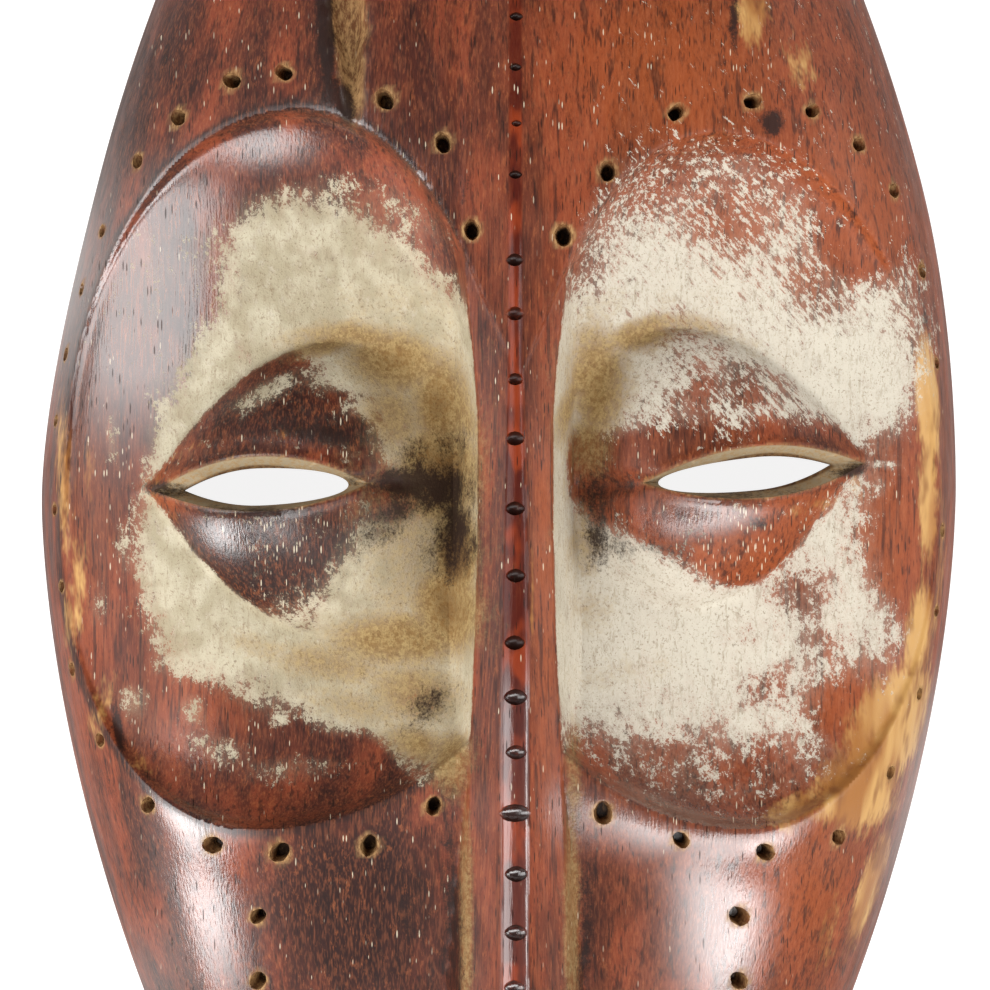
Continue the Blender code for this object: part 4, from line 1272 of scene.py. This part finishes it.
# painted shade: the straight part of each slit, below the lids, is painted dark brown
wall_colour = mix(ramp(layer("lid"), 0.76, 0.68), wall_colour, linear("#2c1c12"))
surface_colour = mix(maths("MULTIPLY", wall, 0.9), surface_colour, wall_colour)
bare_colour = mix(ramp(mottle, 0.35, 0.65), linear("#5d3d22"), linear("#b08a5a"))
bare_level = maths("MULTIPLY", layer("bare"), maths("SUBTRACT", 1.0, clay_mask))
surface_colour = mix(bare_level, surface_colour, bare_colour)
soot_and_shade_level = broken(broken(broken(layer("soot_and_shade"), scrub, 1.1), coarse, 0.9), grit, 0.9)
soot_and_shade = ramp(soot_and_shade_level, 0.24, 0.9)
surface_colour = mix(maths("MULTIPLY", soot_and_shade, 0.93), surface_colour, linear("#1f0f0a"))
back_colour = mix(ramp(tone, 0.3, 0.7), linear("#4b2d1c"), linear("#7d5334"))
surface_colour = mix(layer("behind"), surface_colour, back_colour)
print(len(tree.nodes), "nodes with all the colours")

# %% [markdown]
# Gloss is what makes the patina look handled. The wood itself is satin. Over it lies a coat of wax and skin
# oil, only where the mask is polished, and it thins over pores and clay. The coat's high IOR stands for the
# strong sheen of many thin layers.

# %% Gloss
DULL_ROUGHNESS = 0.88
POLISHED_ROUGHNESS = 0.25
dull = maths("MAXIMUM", clay_mask, maths("MAXIMUM", layer("bare"), layer("behind")))
dull = maths("MAXIMUM", dull, maths("MULTIPLY", maths("MAXIMUM", dirt_and_shade, layer("matt")), 0.7))
satin = ramp(blotch, 0.3, 0.75, 0.42, 0.56)
shine = maths("MAXIMUM", layer("polish"), maths("MULTIPLY", layer("crest"), 0.6))
roughness = blend(dull, blend(shine, satin, POLISHED_ROUGHNESS), DULL_ROUGHNESS)
wax = maths("MULTIPLY", layer("polish"), maths("SUBTRACT", 1.0, maths("MULTIPLY", empty, 0.8)))
wax = maths("MULTIPLY", wax, maths("SUBTRACT", 1.0, maths("MULTIPLY", dull, 0.85)))

# %% [markdown]
# The bump carries only what is finer than the mesh: the grain, the mottle of the worn surface, and the grit
# of clay and dirt. Polishing has worn the mottle down.

# %% Fine relief
RELIEF_DEPTH = 0.12 * MM
grain = maths("MULTIPLY", fine, maths("MULTIPLY_ADD", shine, 0.3, 0.15))
crust = maths("MAXIMUM", layer("clay"), layer("dirt_and_shade"))
relief = maths("ADD", grain, maths("MULTIPLY", mottle, maths("MULTIPLY_ADD", shine, -0.36, 0.5)))
relief = maths("ADD", relief, maths("MULTIPLY", grit, maths("MULTIPLY_ADD", crust, 0.9, 0.1)))
bump = add(tree, "ShaderNodeBump", {"Strength": 0.8, "Distance": RELIEF_DEPTH, "Height": relief})

# %% Join it all to the shader
for socket, source in (("Base Color", surface_colour), ("Roughness", roughness), ("Coat Weight", wax),
                       ("Normal", bump.outputs["Normal"]), ("Coat Normal", bump.outputs["Normal"])):
    tree.links.new(source, shader.inputs[socket])
shader.inputs["Coat Roughness"].default_value = 0.22
shader.inputs["Coat IOR"].default_value = 1.95
shader.inputs["IOR"].default_value = 1.5
shader.inputs["Specular IOR Level"].default_value = 0.22
cut_mesh.materials.clear()
cut_mesh.materials.append(wood)
print(len(tree.nodes), "nodes in all")

# %% [markdown]
# The carved mask takes the place of the plain solid. It rides on the only body there is.

# %% Dress the frame
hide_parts("mask")
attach(mask, "root")

# %% [markdown]
# The photograph is a studio picture on white. The table is pale paper. It glows a little, and more for the
# camera than for the mask: so it comes out white in the picture, as in the photograph, and yet lays no grey
# veil over the dark wood.

# %% Floor
FLOOR_GAP = 0.3 * MM
GLOW_FOR_MASK = 0.3
GLOW_FOR_CAMERA = 0.58      # this much more

bpy.ops.mesh.primitive_plane_add(size=8, location=(0, 0, -FLOOR_GAP))
floor = bpy.context.object
floor.name = "floor"
paper = bpy.data.materials.new("white_paper_floor")
paper.use_nodes = True
paper.cycles.emission_sampling = "NONE"
paper_shader = paper.node_tree.nodes["Principled BSDF"]
paper_shader.inputs["Base Color"].default_value = linear("#9f9e9c")
paper_shader.inputs["Roughness"].default_value = 0.9
paper_shader.inputs["Specular IOR Level"].default_value = 0
paper_shader.inputs["Emission Color"].default_value = linear("#ffffff")
seen = add(paper.node_tree, "ShaderNodeLightPath").outputs["Is Camera Ray"]
glow = add(paper.node_tree, "ShaderNodeMath", {0: seen, 1: GLOW_FOR_CAMERA, 2: GLOW_FOR_MASK},
           operation="MULTIPLY_ADD").outputs[0]
paper.node_tree.links.new(glow, paper_shader.inputs["Emission Strength"])
floor.data.materials.append(paper)

# %% [markdown]
# A patch of gloss shows where a lamp stands, because it lies where the surface mirrors that lamp to the
# camera. So the lamps are placed by direction: a large soft box high on the left and a small one low on the
# left, one high and one low on the right, and a wide one beyond the chin. No lamp stands straight above,
# which keeps the patina dark and deep, and a faint even light from the studio's walls fills the shadows.

# %% Lamps
LAMP_DISTANCE = 1.3


def soft_box(name, azimuth, height, size, radiance):
    """A rectangular lamp at an azimuth and a height in degrees, as wide and tall in degrees as it looks."""
    wide, tall = (2 * LAMP_DISTANCE * math.tan(math.radians(angle / 2)) for angle in size)
    data = bpy.data.lights.new(name, "AREA")
    data.shape = "RECTANGLE"
    data.size = wide
    data.size_y = tall
    data.energy = radiance * math.pi * wide * tall
    flat = math.cos(math.radians(height))
    towards = Vector((flat * math.cos(math.radians(azimuth)), flat * math.sin(math.radians(azimuth)),
                      math.sin(math.radians(height))))
    lamp = bpy.data.objects.new(name, data)
    lamp.location = towards * LAMP_DISTANCE + Vector((0, 0, FACE_LEVEL))
    lamp.rotation_euler = (-towards).to_track_quat("-Z", "Y").to_euler()
    lamp.visible_camera = False
    bpy.context.scene.collection.objects.link(lamp)
    print(name, "measures", round(wide, 2), "by", round(tall, 2), "m")


soft_box("left_box", 181, 38, (46, 68), 3.6)
soft_box("low_left_box", 207, 20, (24, 26), 7)
soft_box("right_box", -30, 34, (24, 22), 4.5)
soft_box("chin_box", -72, 53, (62, 26), 6.0)
soft_box("low_right_box", 12, 16, (44, 24), 6.0)

# %% Studio walls
WALL_LIGHT = 0.15
world = bpy.data.worlds.new("studio")
world.use_nodes = True
background = world.node_tree.nodes["Background"]
background.inputs["Color"].default_value = linear("#ffffff")
background.inputs["Strength"].default_value = WALL_LIGHT
bpy.context.scene.world = world
bpy.context.scene.view_settings.view_transform = "Standard"
